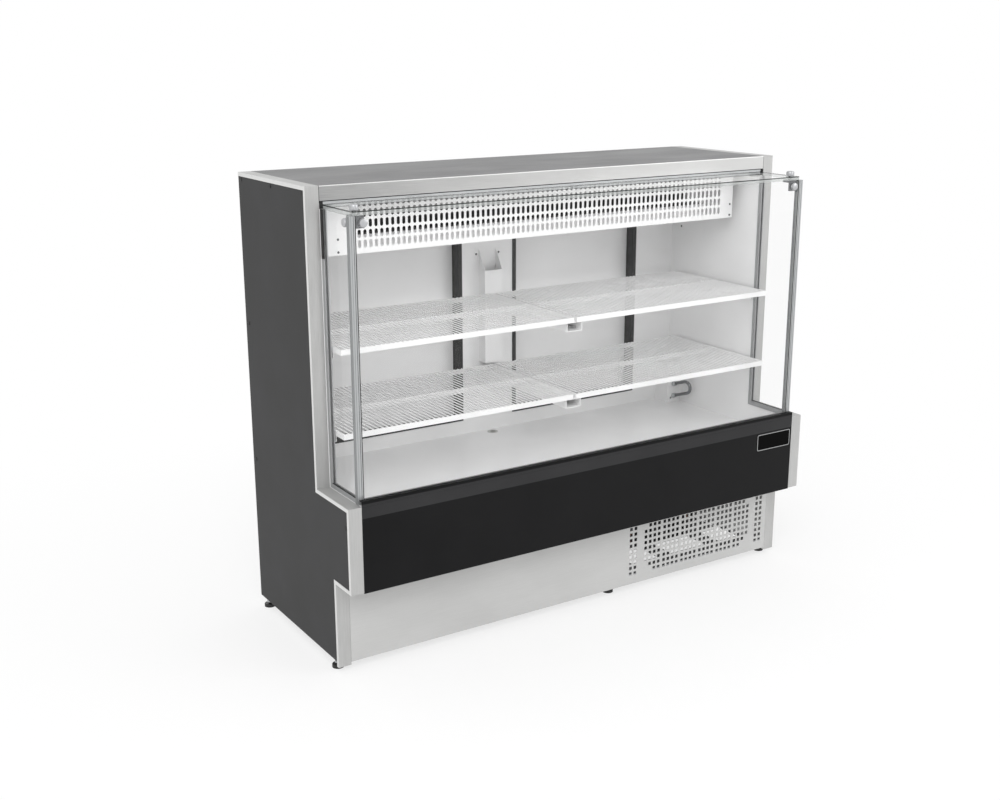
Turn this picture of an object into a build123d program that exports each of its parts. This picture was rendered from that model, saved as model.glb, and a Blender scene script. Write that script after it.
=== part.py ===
from build123d import *

import math
import os

os.makedirs("parts", exist_ok=True)

# Cabinet sizes: the back plane, the floor and the middle of the width are the three datums
width = 1500.0
height = 1225.0
depth = 593.0
upper_depth = 417.0
kick_depth = 506.0
foot_height = 18.0
ledge_height = 472.0
overhang_height = 248.0
deck_height = 406.5
ceiling_height = 1183.0
compartment_height = 344.0
fascia_height = 36.0

# Sheet and wall thicknesses
panel_sheet = 1.5
liner_sheet = 1.0
side_wall = 45.0
back_wall = 26.0
front_wall = 32.0
worktop_sheet = 1.2

# Side frames
frame_width = 35.5
frame_rim = 10.0
frame_bar = 30.0
sheet_recess = 1.0
sheet_drop = 13.0
cap_radius = 5.25
cap_stem_radius = 2.0
cap_stem = 12.0
cap_inset = 18.0
cap_middle_height = 825.0
cap_low_height = 442.0
cap_front_height = 419.0

# Rear door openings and their black frames
opening_inner = 100.5
opening_outer = 544.5
opening_bottom = 461.0
opening_top = 1020.0
breaker_wall = 3.0
breaker_flange = 12.5
breaker_flange_sheet = 2.0

# Rear doors, gaskets, handles and hinges
door_thickness = 38.0
door_skin = 1.5
door_sheet = 1.0
door_lap = 23.0
door_hinge_lap = 35.5
door_fillet = 3.0
gasket_thickness = 10.0
gasket_width = 17.0
gasket_inset = 5.0
gasket_hinge_inset = 15.0
rest_gap = 0.3
hinge_inset = 10.0
hinge_gap = 0.4
hinge_plate = 4.0
hinge_plate_height = 32.0
hinge_arm_half = 12.0
hinge_block = 22.0
hinge_block_height = 24.0
pin_radius = 4.0
pin_length = 15.0
running_gap = 0.05
handle_reach = 30.0
handle_radius = 7.0
handle_length = 240.0
handle_inset = 24.0
handle_post_radius = 5.0

# Glass and its fittings
glass = 6.0
top_glass_thickness = 10.0
top_glass_top = 1180.0
top_glass_half = 704.5
top_glass_front = 573.0
top_glass_tuck = 13.0
glass_gap = 0.3
post_size = 15.0
post_middle = 708.0
post_depth = 570.5
post_groove = 1.2
post_groove_offset = 3.2
channel_wall = 2.4
channel_height = 12.0
channel_end = 30.0
side_glass_middle = 707.0
front_glass_depth = 574.0
clamp_size = 30.0
clamp_knob_x = 690.0
clamp_knob_depth = 552.0
clamp_disc_x = 681.0
clamp_disc_depth = 550.0
clamp_disc_height = 1153.0
clamp_wall = 7.0
knob_radius = 11.0
knob_height = 16.0
disc_radius = 10.5
disc_thickness = 8.0
knob_stem_radius = 4.0
knob_edge = 1.5
glass_hole_gap = 1.0

# Front panel, rail, badge and kick panel
front_sheet = 1.6
side_gap = 0.5
panel_drop = 2.0
panel_top = 441.0
rail_top = 486.0
rail_groove_height = 473.0
rail_groove = 0.6
rail_edge = 1.0
badge_width = 129.0
badge_height = 49.0
badge_middle = 642.5
badge_bottom = 387.0
badge_thickness = 1.0
badge_border = 2.0
badge_corner = 5.0
badge_recess = 0.4
kick_bottom = 26.0
kick_sheet = 1.2
kick_flange = 20.0
hole = 10.0
hole_row = 17.25
hole_rows = 9
hole_bottom = 58.0
hole_column = 16.4
hole_group = 69.3
hole_groups = 6
hole_per_group = 4
hole_first = 240.4
hole_left_pair = 186.0
hole_right_pair = 673.6

# Air duct cover
duct_half = 672.0
duct_bottom_depth = 337.0
duct_bottom = 1040.0
duct_sheet = 1.2
duct_return = 14.0
slot_columns = 77
slot_rows = 5
slot_pitch = 15.86
slot_row_pitch = 25.8
slot_width = 9.2
slot_length = 20.3
slot_first = 23.8
duct_shift = 16.0

# Evaporator, its tray and its fans
tray_half = 600.0
tray_front_depth = 300.0
tray_bottom = 1046.0
tray_rim = 36.0
coil_half = 560.0
coil_front_depth = 255.0
coil_back_depth = 150.0
coil_bottom = 1078.0
coil_top = 1172.0
coil_end_sheet = 2.0
fin_pitch = 16.0
fin_sheet = 1.0
fin_reach = 14.0
fan_spacing = 300.0
fan_motor_radius = 24.0
fan_motor_length = 38.0
fan_bracket = 3.0
shaft_radius = 4.0
shaft_reach = 22.0
evaporator_fan_radius = 46.0
fan_hub_radius = 14.0
fan_hub_length = 14.0
fan_blades = 5
blade_thickness = 1.6
blade_pitch = 28.0
blade_share = 0.62
fan_shaft_end = 3.0

# Wall cover, floor drain, service box and its tube
cover_half = 30.0
cover_reach = 36.0
cover_bottom = 626.0
cover_top = 904.0
cover_ear_top = 964.0
cover_flange = 18.0
cover_flange_bottom = 935.0
drain_depth = 53.0
drain_radius = 12.5
drain_bore_radius = 10.0
drain_flange_radius = 16.0
drain_flange = 1.0
drain_bottom = 310.0
drain_clearance = 0.5
service_width = 51.0
service_reach = 64.0
service_height = 126.0
loop_radius = 19.0
loop_tube = 5.0
loop_reach = 75.0
loop_middle = 40.5
loop_inset = 28.0
loop_turn = 9.0
loop_rise = 18.0
loop_seat = 13.0
loop_hole_gap = 1.0

# Shelves and their arms
shelf_levels = (607.0, 821.0)
shelf_inner = 5.0
shelf_outer = 698.0
shelf_front_depth = 475.0
shelf_cover_gap = 2.0
shelf_middle_depth = 255.0
rail_height = 14.0
rail_thickness = 4.0
wire_radius = 1.75
wire_pitch = 13.55
arm_width = 15.0
arm_height = 20.0
arm_wall = 1.5
arm_front_depth = 415.0
center_arm_half = 25.0
center_arm_height = 25.0
center_arm_front_depth = 470.0

# Machine compartment
foot_radius = 15.5
foot_disc = 9.0
foot_neck_radius = 5.0
foot_edge = 2.0
foot_side = 732.0
foot_middle = 137.0
foot_front_depth = 463.0
foot_rear_depth = 20.0
tray_lip = 25.0
base_cut_left = 275.0
base_cut_right = 700.0
base_cut_front_depth = 400.0
base_cut_rear_depth = 180.0
runner_middles = (402.0, 592.0)
runner_width = 55.0
unit_left = 340.0
unit_right = 690.0
unit_front_depth = 318.0
unit_rear_depth = 60.0
unit_plate = 3.0
compressor_x = 612.0
compressor_depth = 150.0
compressor_radius = 74.0
compressor_height = 185.0
compressor_foot_radius = 11.0
compressor_foot_height = 12.0
compressor_plate = 3.0
compressor_plate_half = 70.0
compressor_stub_radius = 6.0
compressor_stub = 10.0
suction_offset = 24.0
condenser_left = 350.0
condenser_right = 560.0
condenser_front_depth = 310.0
condenser_rear_depth = 262.0
condenser_height = 210.0
condenser_fin_pitch = 10.0
condenser_fin_reach = 16.0
shroud_depth = 22.0
shroud_sheet = 1.5
condenser_fan_radius = 88.0
condenser_hub_radius = 22.0
condenser_hub_length = 22.0
condenser_fan_gap = 4.0
condenser_motor_radius = 30.0
condenser_motor_length = 48.0
motor_strut = 8.0
tube_radius = 4.0
tube_bend = 20.0
tube_height = 290.0

# Control box with its knob, switch and cable gland
control_left = 20.0
control_width = 180.0
control_height = 100.0
control_reach = 60.0
control_depth = 20.0
control_sheet = 1.2
knob_shaft_radius = 3.0
knob_shaft_length = 12.0
thermostat_radius = 17.0
thermostat_height = 16.0
thermostat_edge = 1.0
thermostat_offset = 48.0
pointer_width = 2.0
pointer_depth = 0.8
switch_width = 20.0
switch_half = 11.3
switch_front = 11.0
switch_dip = 10.0
switch_rear = 5.0
switch_sink = 9.0
switch_tilt = 6.0
switch_gap = 1.7
switch_side_gap = 0.5
switch_pin_radius = 1.5
switch_lug = 2.0
switch_offset = 130.0
gland_radius = 9.0
gland_neck_radius = 6.0
gland_bore_radius = 4.0
gland_length = 12.0
gland_neck_length = 6.0
gland_offset = 60.0

# Screws
screw_radius = 4.0
screw_head = 1.6
screw_stem_radius = 1.9
duct_screw_x = 646.0
duct_screw_rows = (8.0, 40.0)
liner_screw_depth = 71.0
liner_screw_heights = (582.0, 980.0)
service_screw_inset = 14.0

# Planes worked out from the sizes above
rear_reach = gasket_thickness + door_thickness + handle_reach
front_reach = depth + badge_thickness
back_y = (front_reach - rear_reach) / 2
half = width / 2
inner_half = half - frame_width
liner_half = half - side_wall
sheet_bottom = foot_height + sheet_drop


def from_back(distance):
    """The y of a plane this far in front of the back plane."""
    return back_y - distance


front_y = from_back(depth)
upper_y = from_back(upper_depth)
kick_y = from_back(kick_depth)
panel_back_y = front_y + front_sheet
front_liner_y = front_y + front_wall
liner_back_y = from_back(back_wall)
foam_back_y = liner_back_y + liner_sheet
back_sheet_y = back_y - panel_sheet
deck_under = deck_height - liner_sheet
compartment_top = compartment_height + liner_sheet
foam_top_bottom = ceiling_height + liner_sheet
worktop_under = height - worktop_sheet
foam_side_inner = liner_half + liner_sheet
foam_side_outer = half - sheet_recess - panel_sheet
fascia_back_y = upper_y + worktop_sheet
post_y = from_back(post_depth)


def span(side, near, far):
    """The x range between two distances from the middle, on one side."""
    return tuple(sorted((side * near, side * far)))


def block(x, y, z, mode=Mode.ADD):
    """A block between two planes along each axis."""
    with Locations(((x[0] + x[1]) / 2, (y[0] + y[1]) / 2, (z[0] + z[1]) / 2)):
        Box(x[1] - x[0], y[1] - y[0], z[1] - z[0], mode=mode)


def rod(center, radius, length, axis="Z", mode=Mode.ADD):
    """A round bar that starts at a point and runs along an axis, or against it when negative."""
    turn = {"X": (0, 90, 0), "Y": (-90, 0, 0), "Z": (0, 0, 0)}[axis]
    step = {"X": (1, 0, 0), "Y": (0, 1, 0), "Z": (0, 0, 1)}[axis]
    middle = [c + s * length / 2 for c, s in zip(center, step)]
    with Locations(Location(tuple(middle), turn)):
        Cylinder(radius, abs(length), mode=mode)


def stepped_outline(inset, bottom, back):
    """The side view's stepped outline, drawn in by an inset on all but its back and bottom."""
    with BuildSketch(Plane.YZ) as outline:
        with BuildLine():
            Polyline(
                (back, bottom),
                (back, height - inset),
                (upper_y + inset, height - inset),
                (upper_y + inset, ledge_height - inset),
                (front_y + inset, ledge_height - inset),
                (front_y + inset, overhang_height + inset),
                (kick_y + inset, overhang_height + inset),
                (kick_y + inset, bottom),
                close=True,
            )
        make_face()
    return outline.sketch


def slab(profile, x, mode=Mode.ADD):
    """A side view profile given its thickness between two x planes."""
    extrude(profile.moved(Location((x[0], 0, 0))), amount=x[1] - x[0], dir=(1, 0, 0), mode=mode)


def save(part, name):
    """Labels a finished piece and writes it."""
    part.label = name
    export_step(part, f"parts/{name}.step")



# Side frames: a bar round the stepped outline, a light rim outside and a skin beside the machinery
frame_hollow = stepped_outline(frame_bar, sheet_bottom + frame_bar, back_y - frame_bar)
sheet_shape = stepped_outline(frame_rim, sheet_bottom, back_y)
cap_points = (
    (back_y - cap_inset, height - cap_inset),
    (from_back(upper_depth / 2), height - cap_inset),
    (upper_y + cap_inset, height - cap_inset),
    (back_y - cap_inset, cap_middle_height),
    (back_y - cap_inset, cap_low_height),
    (front_y + cap_inset, cap_front_height),
)


def side_frame(side, name):
    with BuildPart() as frame:
        slab(stepped_outline(0, sheet_bottom, back_y), span(side, inner_half, half))
        slab(frame_hollow, span(side, inner_half, half), Mode.SUBTRACT)
        slab(sheet_shape, span(side, foam_side_outer, half), Mode.SUBTRACT)
        block(span(side, inner_half, half), (kick_y, kick_y + frame_rim), (foot_height, sheet_bottom))
        block(
            span(side, inner_half, inner_half + panel_sheet),
            (kick_y + frame_bar, back_y - frame_bar),
            (sheet_bottom + frame_bar, compartment_height),
        )
        for y, z in cap_points:
            face = (side * foam_side_outer, y, z)
            rod(face, cap_stem_radius + running_gap, -side * cap_stem, "X", Mode.SUBTRACT)
    save(frame.part, name)


side_frame(-1, "side_frame_left")
side_frame(1, "side_frame_right")

# Dark outer sheets, set back a little inside the light rim
with BuildPart() as side_sheets:
    for side in (-1, 1):
        slab(sheet_shape, span(side, foam_side_outer, foam_side_outer + panel_sheet))
        for y, z in cap_points:
            face = (side * foam_side_outer, y, z)
            rod(face, cap_stem_radius + running_gap, side * panel_sheet, "X", Mode.SUBTRACT)
save(side_sheets.part, "side_sheets")

# Screw caps over the fixings of the side sheets
with BuildPart() as screw_caps:
    for side in (-1, 1):
        for y, z in cap_points:
            rod((side * (half - sheet_recess), y, z), cap_radius, side * sheet_recess, "X")
            rod((side * (half - sheet_recess), y, z), cap_stem_radius, -side * cap_stem, "X")
save(screw_caps.part, "screw_caps")

# Worktop and fascia, one folded sheet
with BuildPart() as worktop:
    block((-inner_half, inner_half), (upper_y, back_y), (worktop_under, height))
    block((-inner_half, inner_half), (upper_y, fascia_back_y), (height - fascia_height, height))
save(worktop.part, "worktop")


def door_holes(margin, y):
    """Cuts both rear openings, wider by a margin, between two planes."""
    for side in (-1, 1):
        block(
            span(side, opening_inner - margin, opening_outer + margin),
            y,
            (opening_bottom - margin, opening_top + margin),
            Mode.SUBTRACT,
        )


# Foam between the inner and outer sheets, one mass that is foamed in place
drain_y = from_back(drain_depth)
with BuildPart() as foam:
    for side in (-1, 1):
        slab(frame_hollow, span(side, inner_half, foam_side_outer))
        strip = stepped_outline(front_sheet, compartment_top, back_sheet_y)
        slab(strip, span(side, foam_side_inner, inner_half))
    block((-half, half), (front_y, back_y), (0, compartment_top), Mode.SUBTRACT)
    across = (-foam_side_inner, foam_side_inner)
    block(across, (panel_back_y, foam_back_y), (compartment_top, deck_under))
    block(across, (panel_back_y, front_liner_y - liner_sheet), (deck_under, ledge_height - liner_sheet))
    block(across, (foam_back_y, back_sheet_y), (compartment_top, worktop_under))
    block(across, (fascia_back_y + liner_sheet, foam_back_y), (foam_top_bottom, worktop_under))
    door_holes(breaker_wall, (liner_back_y, back_y))
    start = (0, drain_y, compartment_top)
    drain_length = deck_under - compartment_top
    rod(start, drain_radius + drain_clearance, drain_length, mode=Mode.SUBTRACT)
save(foam.part, "foam")

# Side liners with their turned-out front and ledge flanges
with BuildSketch(Plane.YZ) as liner_shape:
    with BuildLine():
        Polyline(
            (foam_back_y, deck_under),
            (foam_back_y, foam_top_bottom),
            (upper_y, foam_top_bottom),
            (upper_y, ledge_height),
            (front_liner_y, ledge_height),
            (front_liner_y, deck_under),
            close=True,
        )
    make_face()
liner_screw_y = from_back(liner_screw_depth)
with BuildPart() as side_liners:
    for side in (-1, 1):
        slab(liner_shape.sketch, span(side, liner_half, foam_side_inner))
        for z in liner_screw_heights:
            start = (side * liner_half, liner_screw_y, z)
            rod(start, screw_stem_radius + running_gap, side * liner_sheet, "X", Mode.SUBTRACT)
        flange_x = span(side, liner_half, inner_half)
        flange_z = ledge_height - liner_sheet
        block(flange_x, (upper_y, upper_y + liner_sheet), (flange_z, foam_top_bottom))
        block(flange_x, (front_liner_y, upper_y + liner_sheet), (flange_z, ledge_height))
save(side_liners.part, "side_liners")

# Ceiling liner with a lip behind the fascia
with BuildPart() as ceiling_liner:
    across = (-liner_half, liner_half)
    block(across, (fascia_back_y, liner_back_y), (ceiling_height, foam_top_bottom))
    lip_top = height - fascia_height + frame_rim
    block(across, (fascia_back_y, fascia_back_y + liner_sheet), (ceiling_height, lip_top))
save(ceiling_liner.part, "ceiling_liner")

# Back liner and outer back sheet, both cut for the two rear openings
with BuildPart() as back_liner:
    block((-liner_half, liner_half), (liner_back_y, foam_back_y), (deck_under, foam_top_bottom))
    door_holes(breaker_wall, (liner_back_y, foam_back_y))
save(back_liner.part, "back_liner")

with BuildPart() as back_sheet:
    block((-inner_half, inner_half), (back_sheet_y, back_y), (compartment_height, worktop_under))
    door_holes(breaker_wall, (back_sheet_y, back_y))
save(back_sheet.part, "back_sheet")

# Black frames that line the rear openings and lap over the back liner
with BuildPart() as door_breakers:
    for side in (-1, 1):
        for margin, y in (
            (breaker_wall, (liner_back_y, back_y)),
            (breaker_flange, (liner_back_y - breaker_flange_sheet, liner_back_y)),
        ):
            block(
                span(side, opening_inner - margin, opening_outer + margin),
                y,
                (opening_bottom - margin, opening_top + margin),
            )
    door_holes(0, (liner_back_y - breaker_flange_sheet, back_y))
save(door_breakers.part, "door_breakers")

# Floor pan with its front upstand and flange, and the drain hole
with BuildPart() as floor_pan:
    across = (-liner_half, liner_half)
    upstand_y = front_liner_y - liner_sheet
    block(across, (upstand_y, liner_back_y), (deck_under, deck_height))
    block(across, (upstand_y, front_liner_y), (deck_under, ledge_height))
    flange_z = (ledge_height - liner_sheet, ledge_height)
    block((-inner_half, inner_half), (panel_back_y, front_liner_y), flange_z)
    rod((0, drain_y, deck_under), drain_radius + drain_clearance, liner_sheet, mode=Mode.SUBTRACT)
save(floor_pan.part, "floor_pan")

# Sheet that closes the foam over the machine compartment
with BuildPart() as compartment_ceiling:
    top = (compartment_height, compartment_top)
    block((-inner_half, inner_half), (panel_back_y, back_sheet_y), top)
    start = (0, drain_y, compartment_height)
    rod(start, drain_radius + drain_clearance, liner_sheet, mode=Mode.SUBTRACT)
save(compartment_ceiling.part, "compartment_ceiling")

# Floor drain with its spigot
with BuildPart() as floor_drain:
    rod((0, drain_y, deck_height), drain_flange_radius, drain_flange)
    rod((0, drain_y, drain_bottom), drain_radius, deck_height - drain_bottom)
    bore_length = deck_height + drain_flange - drain_bottom
    rod((0, drain_y, drain_bottom), drain_bore_radius, bore_length, mode=Mode.SUBTRACT)
save(floor_drain.part, "floor_drain")

# Rear doors: outer panel with the pin bores, white inner liner, gasket and handle
door_inner = opening_inner - door_lap
door_outer = opening_outer + door_hinge_lap
door_bottom = opening_bottom - door_lap
door_top = opening_top + door_lap
door_face_y = back_y + gasket_thickness
door_back_y = door_face_y + door_thickness
hinge_x = door_outer - hinge_inset
hinge_y = door_face_y + door_thickness / 2
handle_y = back_y + rear_reach - handle_radius
handle_x = door_inner + handle_inset
handle_bottom = (door_bottom + door_top - handle_length) / 2


def rear_door(side, end):
    with BuildPart() as panel:
        panel_y = (door_face_y + door_skin, door_back_y)
        block(span(side, door_inner, door_outer), panel_y, (door_bottom, door_top))
        fillet(panel.edges().filter_by(Axis.Z).group_by(Axis.Y)[-1], door_fillet)
        inner_y = (door_face_y + door_skin, door_back_y - door_sheet)
        block(
            span(side, door_inner + door_sheet, door_outer - door_sheet),
            inner_y,
            (door_bottom + door_sheet, door_top - door_sheet),
            Mode.SUBTRACT,
        )
        block_x = span(side, door_outer - hinge_block, door_outer - door_sheet)
        for near, far in (
            (door_bottom + door_sheet, door_bottom + hinge_block_height),
            (door_top - hinge_block_height, door_top - door_sheet),
        ):
            block(block_x, inner_y, (near, far))
        bore = pin_length + hinge_gap
        for z, length in ((door_bottom, bore), (door_top, -bore)):
            rod((side * hinge_x, hinge_y, z), pin_radius + running_gap, length, mode=Mode.SUBTRACT)
    save(panel.part, f"door_panel_{end}")
    with BuildPart() as inner:
        liner_y = (door_face_y, door_face_y + door_skin)
        block(span(side, door_inner, door_outer), liner_y, (door_bottom, door_top))
    save(inner.part, f"door_liner_{end}")
    with BuildPart() as gasket:
        near = door_inner + gasket_inset
        far = door_outer - gasket_hinge_inset
        low = door_bottom + gasket_inset
        high = door_top - gasket_inset
        gasket_y = (back_y + rest_gap, door_face_y)
        block(span(side, near, far), gasket_y, (low, high))
        block(
            span(side, near + gasket_width, far - gasket_width),
            gasket_y,
            (low + gasket_width, high - gasket_width),
            Mode.SUBTRACT,
        )
    save(gasket.part, f"door_gasket_{end}")
    with BuildPart() as handle:
        rod((side * handle_x, handle_y, handle_bottom), handle_radius, handle_length)
        fillet(handle.edges().filter_by(GeomType.CIRCLE), handle_radius / 3)
        for z in (handle_bottom + handle_inset, handle_bottom + handle_length - handle_inset):
            rod((side * handle_x, door_back_y, z), handle_post_radius, handle_y - door_back_y, "Y")
    save(handle.part, f"door_handle_{end}")


rear_door(-1, "left")
rear_door(1, "right")

# Hinge brackets on the back sheet, each with the pin that carries a door
with BuildPart() as hinge_brackets:
    for side in (-1, 1):
        for z, up in ((door_bottom - hinge_gap, -1), (door_top + hinge_gap, 1)):
            x = span(side, hinge_x - hinge_arm_half, hinge_x + hinge_arm_half)
            plate_z = tuple(sorted((z, z + up * hinge_plate_height)))
            arm_z = tuple(sorted((z, z + up * hinge_plate)))
            block(x, (back_y, back_y + hinge_plate), plate_z)
            block(x, (back_y, hinge_y + hinge_arm_half), arm_z)
            rod((side * hinge_x, hinge_y, z), pin_radius, -up * pin_length)
    arm_ends = hinge_brackets.edges().filter_by(Axis.Z).group_by(Axis.Y)[-1]
    fillet(arm_ends, hinge_arm_half - running_gap)
save(hinge_brackets.part, "hinge_brackets")

# Wall cover between the rear openings, with sloping ears and screw flanges
with BuildSketch(Plane.YZ) as ear_shape:
    with BuildLine():
        Polyline(
            (liner_back_y - cover_reach, cover_bottom),
            (liner_back_y - cover_reach, cover_top),
            (liner_back_y, cover_ear_top),
            (liner_back_y, cover_bottom),
            close=True,
        )
    make_face()
cover_screw_x = cover_half + cover_flange / 2
cover_screw_z = (cover_flange_bottom + cover_ear_top) / 2
with BuildPart() as wall_cover:
    cover_front_y = liner_back_y - cover_reach
    front_sheet_y = (cover_front_y, cover_front_y + duct_sheet)
    block((-cover_half, cover_half), front_sheet_y, (cover_bottom, cover_top))
    for side in (-1, 1):
        slab(ear_shape.sketch, span(side, cover_half - duct_sheet, cover_half))
        flange_x = span(side, cover_half - duct_sheet, cover_half + cover_flange)
        flange_y = (liner_back_y - duct_sheet, liner_back_y)
        block(flange_x, flange_y, (cover_flange_bottom, cover_ear_top - duct_sheet))
        start = (side * cover_screw_x, liner_back_y, cover_screw_z)
        rod(start, screw_stem_radius + running_gap, -duct_sheet, "Y", Mode.SUBTRACT)
save(wall_cover.part, "wall_cover")

# Evaporator drip tray, hung on the back wall
with BuildPart() as evaporator_tray:
    tray_y = (from_back(tray_front_depth), liner_back_y)
    block((-tray_half, tray_half), tray_y, (tray_bottom, tray_bottom + tray_rim))
    block(
        (-tray_half + duct_sheet, tray_half - duct_sheet),
        (tray_y[0] + duct_sheet, tray_y[1]),
        (tray_bottom + duct_sheet, tray_bottom + tray_rim),
        Mode.SUBTRACT,
    )
save(evaporator_tray.part, "evaporator_tray")

# Evaporator coil: finned core between two end plates that reach from the tray to the ceiling
coil_y = (from_back(coil_front_depth), from_back(coil_back_depth))
coil_middle_y = (coil_y[0] + coil_y[1]) / 2
coil_depth = coil_y[1] - coil_y[0]
with BuildPart() as evaporator_coil:
    with BuildSketch(Plane.XY.offset(coil_bottom)):
        with Locations((0, coil_middle_y)):
            Rectangle(2 * coil_half, coil_depth - 2 * fin_reach)
            with GridLocations(fin_pitch, 1, int(2 * coil_half / fin_pitch), 1):
                Rectangle(fin_sheet, coil_depth)
    extrude(amount=coil_top - coil_bottom)
    for side in (-1, 1):
        plate_z = (tray_bottom + duct_sheet, ceiling_height)
        block(span(side, coil_half, coil_half + coil_end_sheet), coil_y, plate_z)
save(evaporator_coil.part, "evaporator_coil")




def fan(center, tip_radius, hub_radius, hub_length, name):
    """A fan whose shaft runs along Y, with flat pitched blades round its hub."""
    root = hub_radius * blade_share
    chord = tip_radius * blade_share
    corner = math.sqrt(tip_radius**2 - (chord / 2) ** 2)
    pitch = math.radians(blade_pitch)
    middle = (center[0], center[1] + hub_length / 2, center[2])
    with BuildPart() as wheel:
        rod(center, hub_radius, hub_length, "Y")
        for index in range(fan_blades):
            turn = 2 * math.pi * index / fan_blades
            out = Vector(math.cos(turn), 0, math.sin(turn))
            along = Vector(-math.sin(turn), 0, math.cos(turn))
            chordwise = along * math.cos(pitch) + Vector(0, math.sin(pitch), 0)
            with BuildSketch(Plane(middle, x_dir=out, z_dir=out.cross(chordwise))):
                with BuildLine():
                    Polyline((corner, -chord / 2), (root, -root), (root, root), (corner, chord / 2))
                    ThreePointArc((corner, chord / 2), (tip_radius, 0), (corner, -chord / 2))
                make_face()
            extrude(amount=blade_thickness / 2, both=True)
        rod(center, shaft_radius + running_gap, hub_length, "Y", Mode.SUBTRACT)
    save(wheel.part, name)


# Evaporator fans behind the coil, each on a motor that a bracket holds to the back liner
fan_z = (tray_bottom + tray_rim + ceiling_height) / 2
motor_back_y = liner_back_y - fan_bracket
motor_front_y = motor_back_y - fan_motor_length
shaft_end_y = motor_front_y - shaft_reach
with BuildPart() as evaporator_fan_motors:
    for side in (-1, 1):
        x = (side * fan_spacing - fan_motor_radius, side * fan_spacing + fan_motor_radius)
        z = (fan_z - fan_motor_radius, fan_z + fan_motor_radius)
        block(x, (motor_back_y, liner_back_y), z)
        rod((side * fan_spacing, motor_back_y, fan_z), fan_motor_radius, -fan_motor_length, "Y")
        rod((side * fan_spacing, motor_front_y, fan_z), shaft_radius, -shaft_reach, "Y")
save(evaporator_fan_motors.part, "evaporator_fan_motors")

for side, end in ((-1, "left"), (1, "right")):
    hub_start = (side * fan_spacing, shaft_end_y + fan_shaft_end, fan_z)
    fan(hub_start, evaporator_fan_radius, fan_hub_radius, fan_hub_length, f"evaporator_fan_{end}")

# Air duct cover: upright slotted face with folded edges
duct_y = from_back(duct_bottom_depth)
duct_face = Plane((0, duct_y, duct_bottom), x_dir=(1, 0, 0), z_dir=(0, -1, 0))
duct_rise = ceiling_height - duct_bottom
with BuildPart() as duct_cover:
    with BuildSketch(duct_face):
        Rectangle(2 * duct_half, duct_rise, align=(Align.CENTER, Align.MIN))
        with Locations((duct_shift, slot_first + (slot_rows - 1) * slot_row_pitch / 2)):
            with GridLocations(slot_pitch, slot_row_pitch, slot_columns, slot_rows):
                SlotOverall(slot_length, slot_width, rotation=90, mode=Mode.SUBTRACT)
        for side in (-1, 1):
            for row in duct_screw_rows:
                with Locations((duct_shift + side * duct_screw_x, row)):
                    Circle(screw_stem_radius + running_gap, mode=Mode.SUBTRACT)
    extrude(amount=-duct_sheet)
    with BuildSketch(duct_face):
        for side in (-1, 1):
            with Locations((side * (duct_half - duct_sheet / 2), 0)):
                Rectangle(duct_sheet, duct_rise, align=(Align.CENTER, Align.MIN))
    extrude(amount=-duct_return)
    for z in (duct_bottom, ceiling_height - duct_sheet):
        block((-duct_half, duct_half), (duct_y, duct_y + duct_return), (z, z + duct_sheet))
save(duct_cover.part, "duct_cover")

# Service box in the rear right corner, and the black tube that loops out of it
service_left = liner_half - service_width
service_front_y = liner_back_y - service_reach
service_top = deck_height + service_height
loop_x = liner_half - loop_inset
loop_z = deck_height + loop_middle
loop_sin, loop_cos = math.sin(math.radians(loop_turn)), math.cos(math.radians(loop_turn))
rise_sin, rise_cos = math.sin(math.radians(loop_rise)), math.cos(math.radians(loop_rise))
loop_out = Vector(loop_sin * rise_cos, -loop_cos * rise_cos, rise_sin)
loop_up = Vector(-loop_sin * rise_sin, loop_cos * rise_sin, rise_cos)
service_screw_x = service_left + service_screw_inset
service_screw_z = deck_height + service_screw_inset
with BuildPart() as service_box:
    block((service_left, liner_half), (service_front_y, liner_back_y), (deck_height, service_top))
    block(
        (service_left + duct_sheet, liner_half),
        (service_front_y + duct_sheet, liner_back_y),
        (deck_height, service_top - duct_sheet),
        Mode.SUBTRACT,
    )
    for z in (loop_z - loop_radius / rise_cos, loop_z + loop_radius / rise_cos):
        rod((loop_x, service_front_y, z), loop_tube + loop_hole_gap, duct_sheet, "Y", Mode.SUBTRACT)
    start = (service_screw_x, service_front_y, service_screw_z)
    rod(start, screw_stem_radius + running_gap, duct_sheet, "Y", Mode.SUBTRACT)
save(service_box.part, "service_box")

with BuildPart() as service_loop:
    mouth = Vector(loop_x, service_front_y, loop_z)
    lift = loop_up * loop_radius
    tip = loop_reach - loop_radius
    inside = mouth - loop_out * loop_seat
    with BuildLine():
        Line(inside + lift, mouth + loop_out * tip + lift)
        ThreePointArc(
            mouth + loop_out * tip + lift,
            mouth + loop_out * loop_reach,
            mouth + loop_out * tip - lift,
        )
        Line(mouth + loop_out * tip - lift, inside - lift)
    with BuildSketch(Plane(inside + lift, z_dir=loop_out)):
        Circle(loop_tube)
    sweep()
save(service_loop.part, "service_loop")


# Wire shelves: a rail frame on edge with round wires welded along its top, four alike
shelf_front_y = from_back(shelf_front_depth)
shelf_rear_y = cover_front_y - shelf_cover_gap
shelf_middle_y = from_back(shelf_middle_depth)
shelf_half = (shelf_outer - shelf_inner) / 2
wire_count = int((2 * shelf_half - 2 * rail_thickness) / wire_pitch)
with BuildPart() as rack:
    for start in (shelf_front_y, shelf_middle_y, shelf_rear_y - rail_thickness):
        block((-shelf_half, shelf_half), (start, start + rail_thickness), (0, rail_height))
    for side in (-1, 1):
        end_x = span(side, shelf_half - rail_thickness, shelf_half)
        block(end_x, (shelf_front_y, shelf_rear_y), (0, rail_height))
    with BuildSketch(Plane.XZ.offset(-shelf_front_y)):
        with Locations((0, rail_height)):
            with GridLocations(wire_pitch, 1, wire_count, 1):
                Circle(wire_radius)
    extrude(amount=shelf_front_y - shelf_rear_y)
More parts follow.
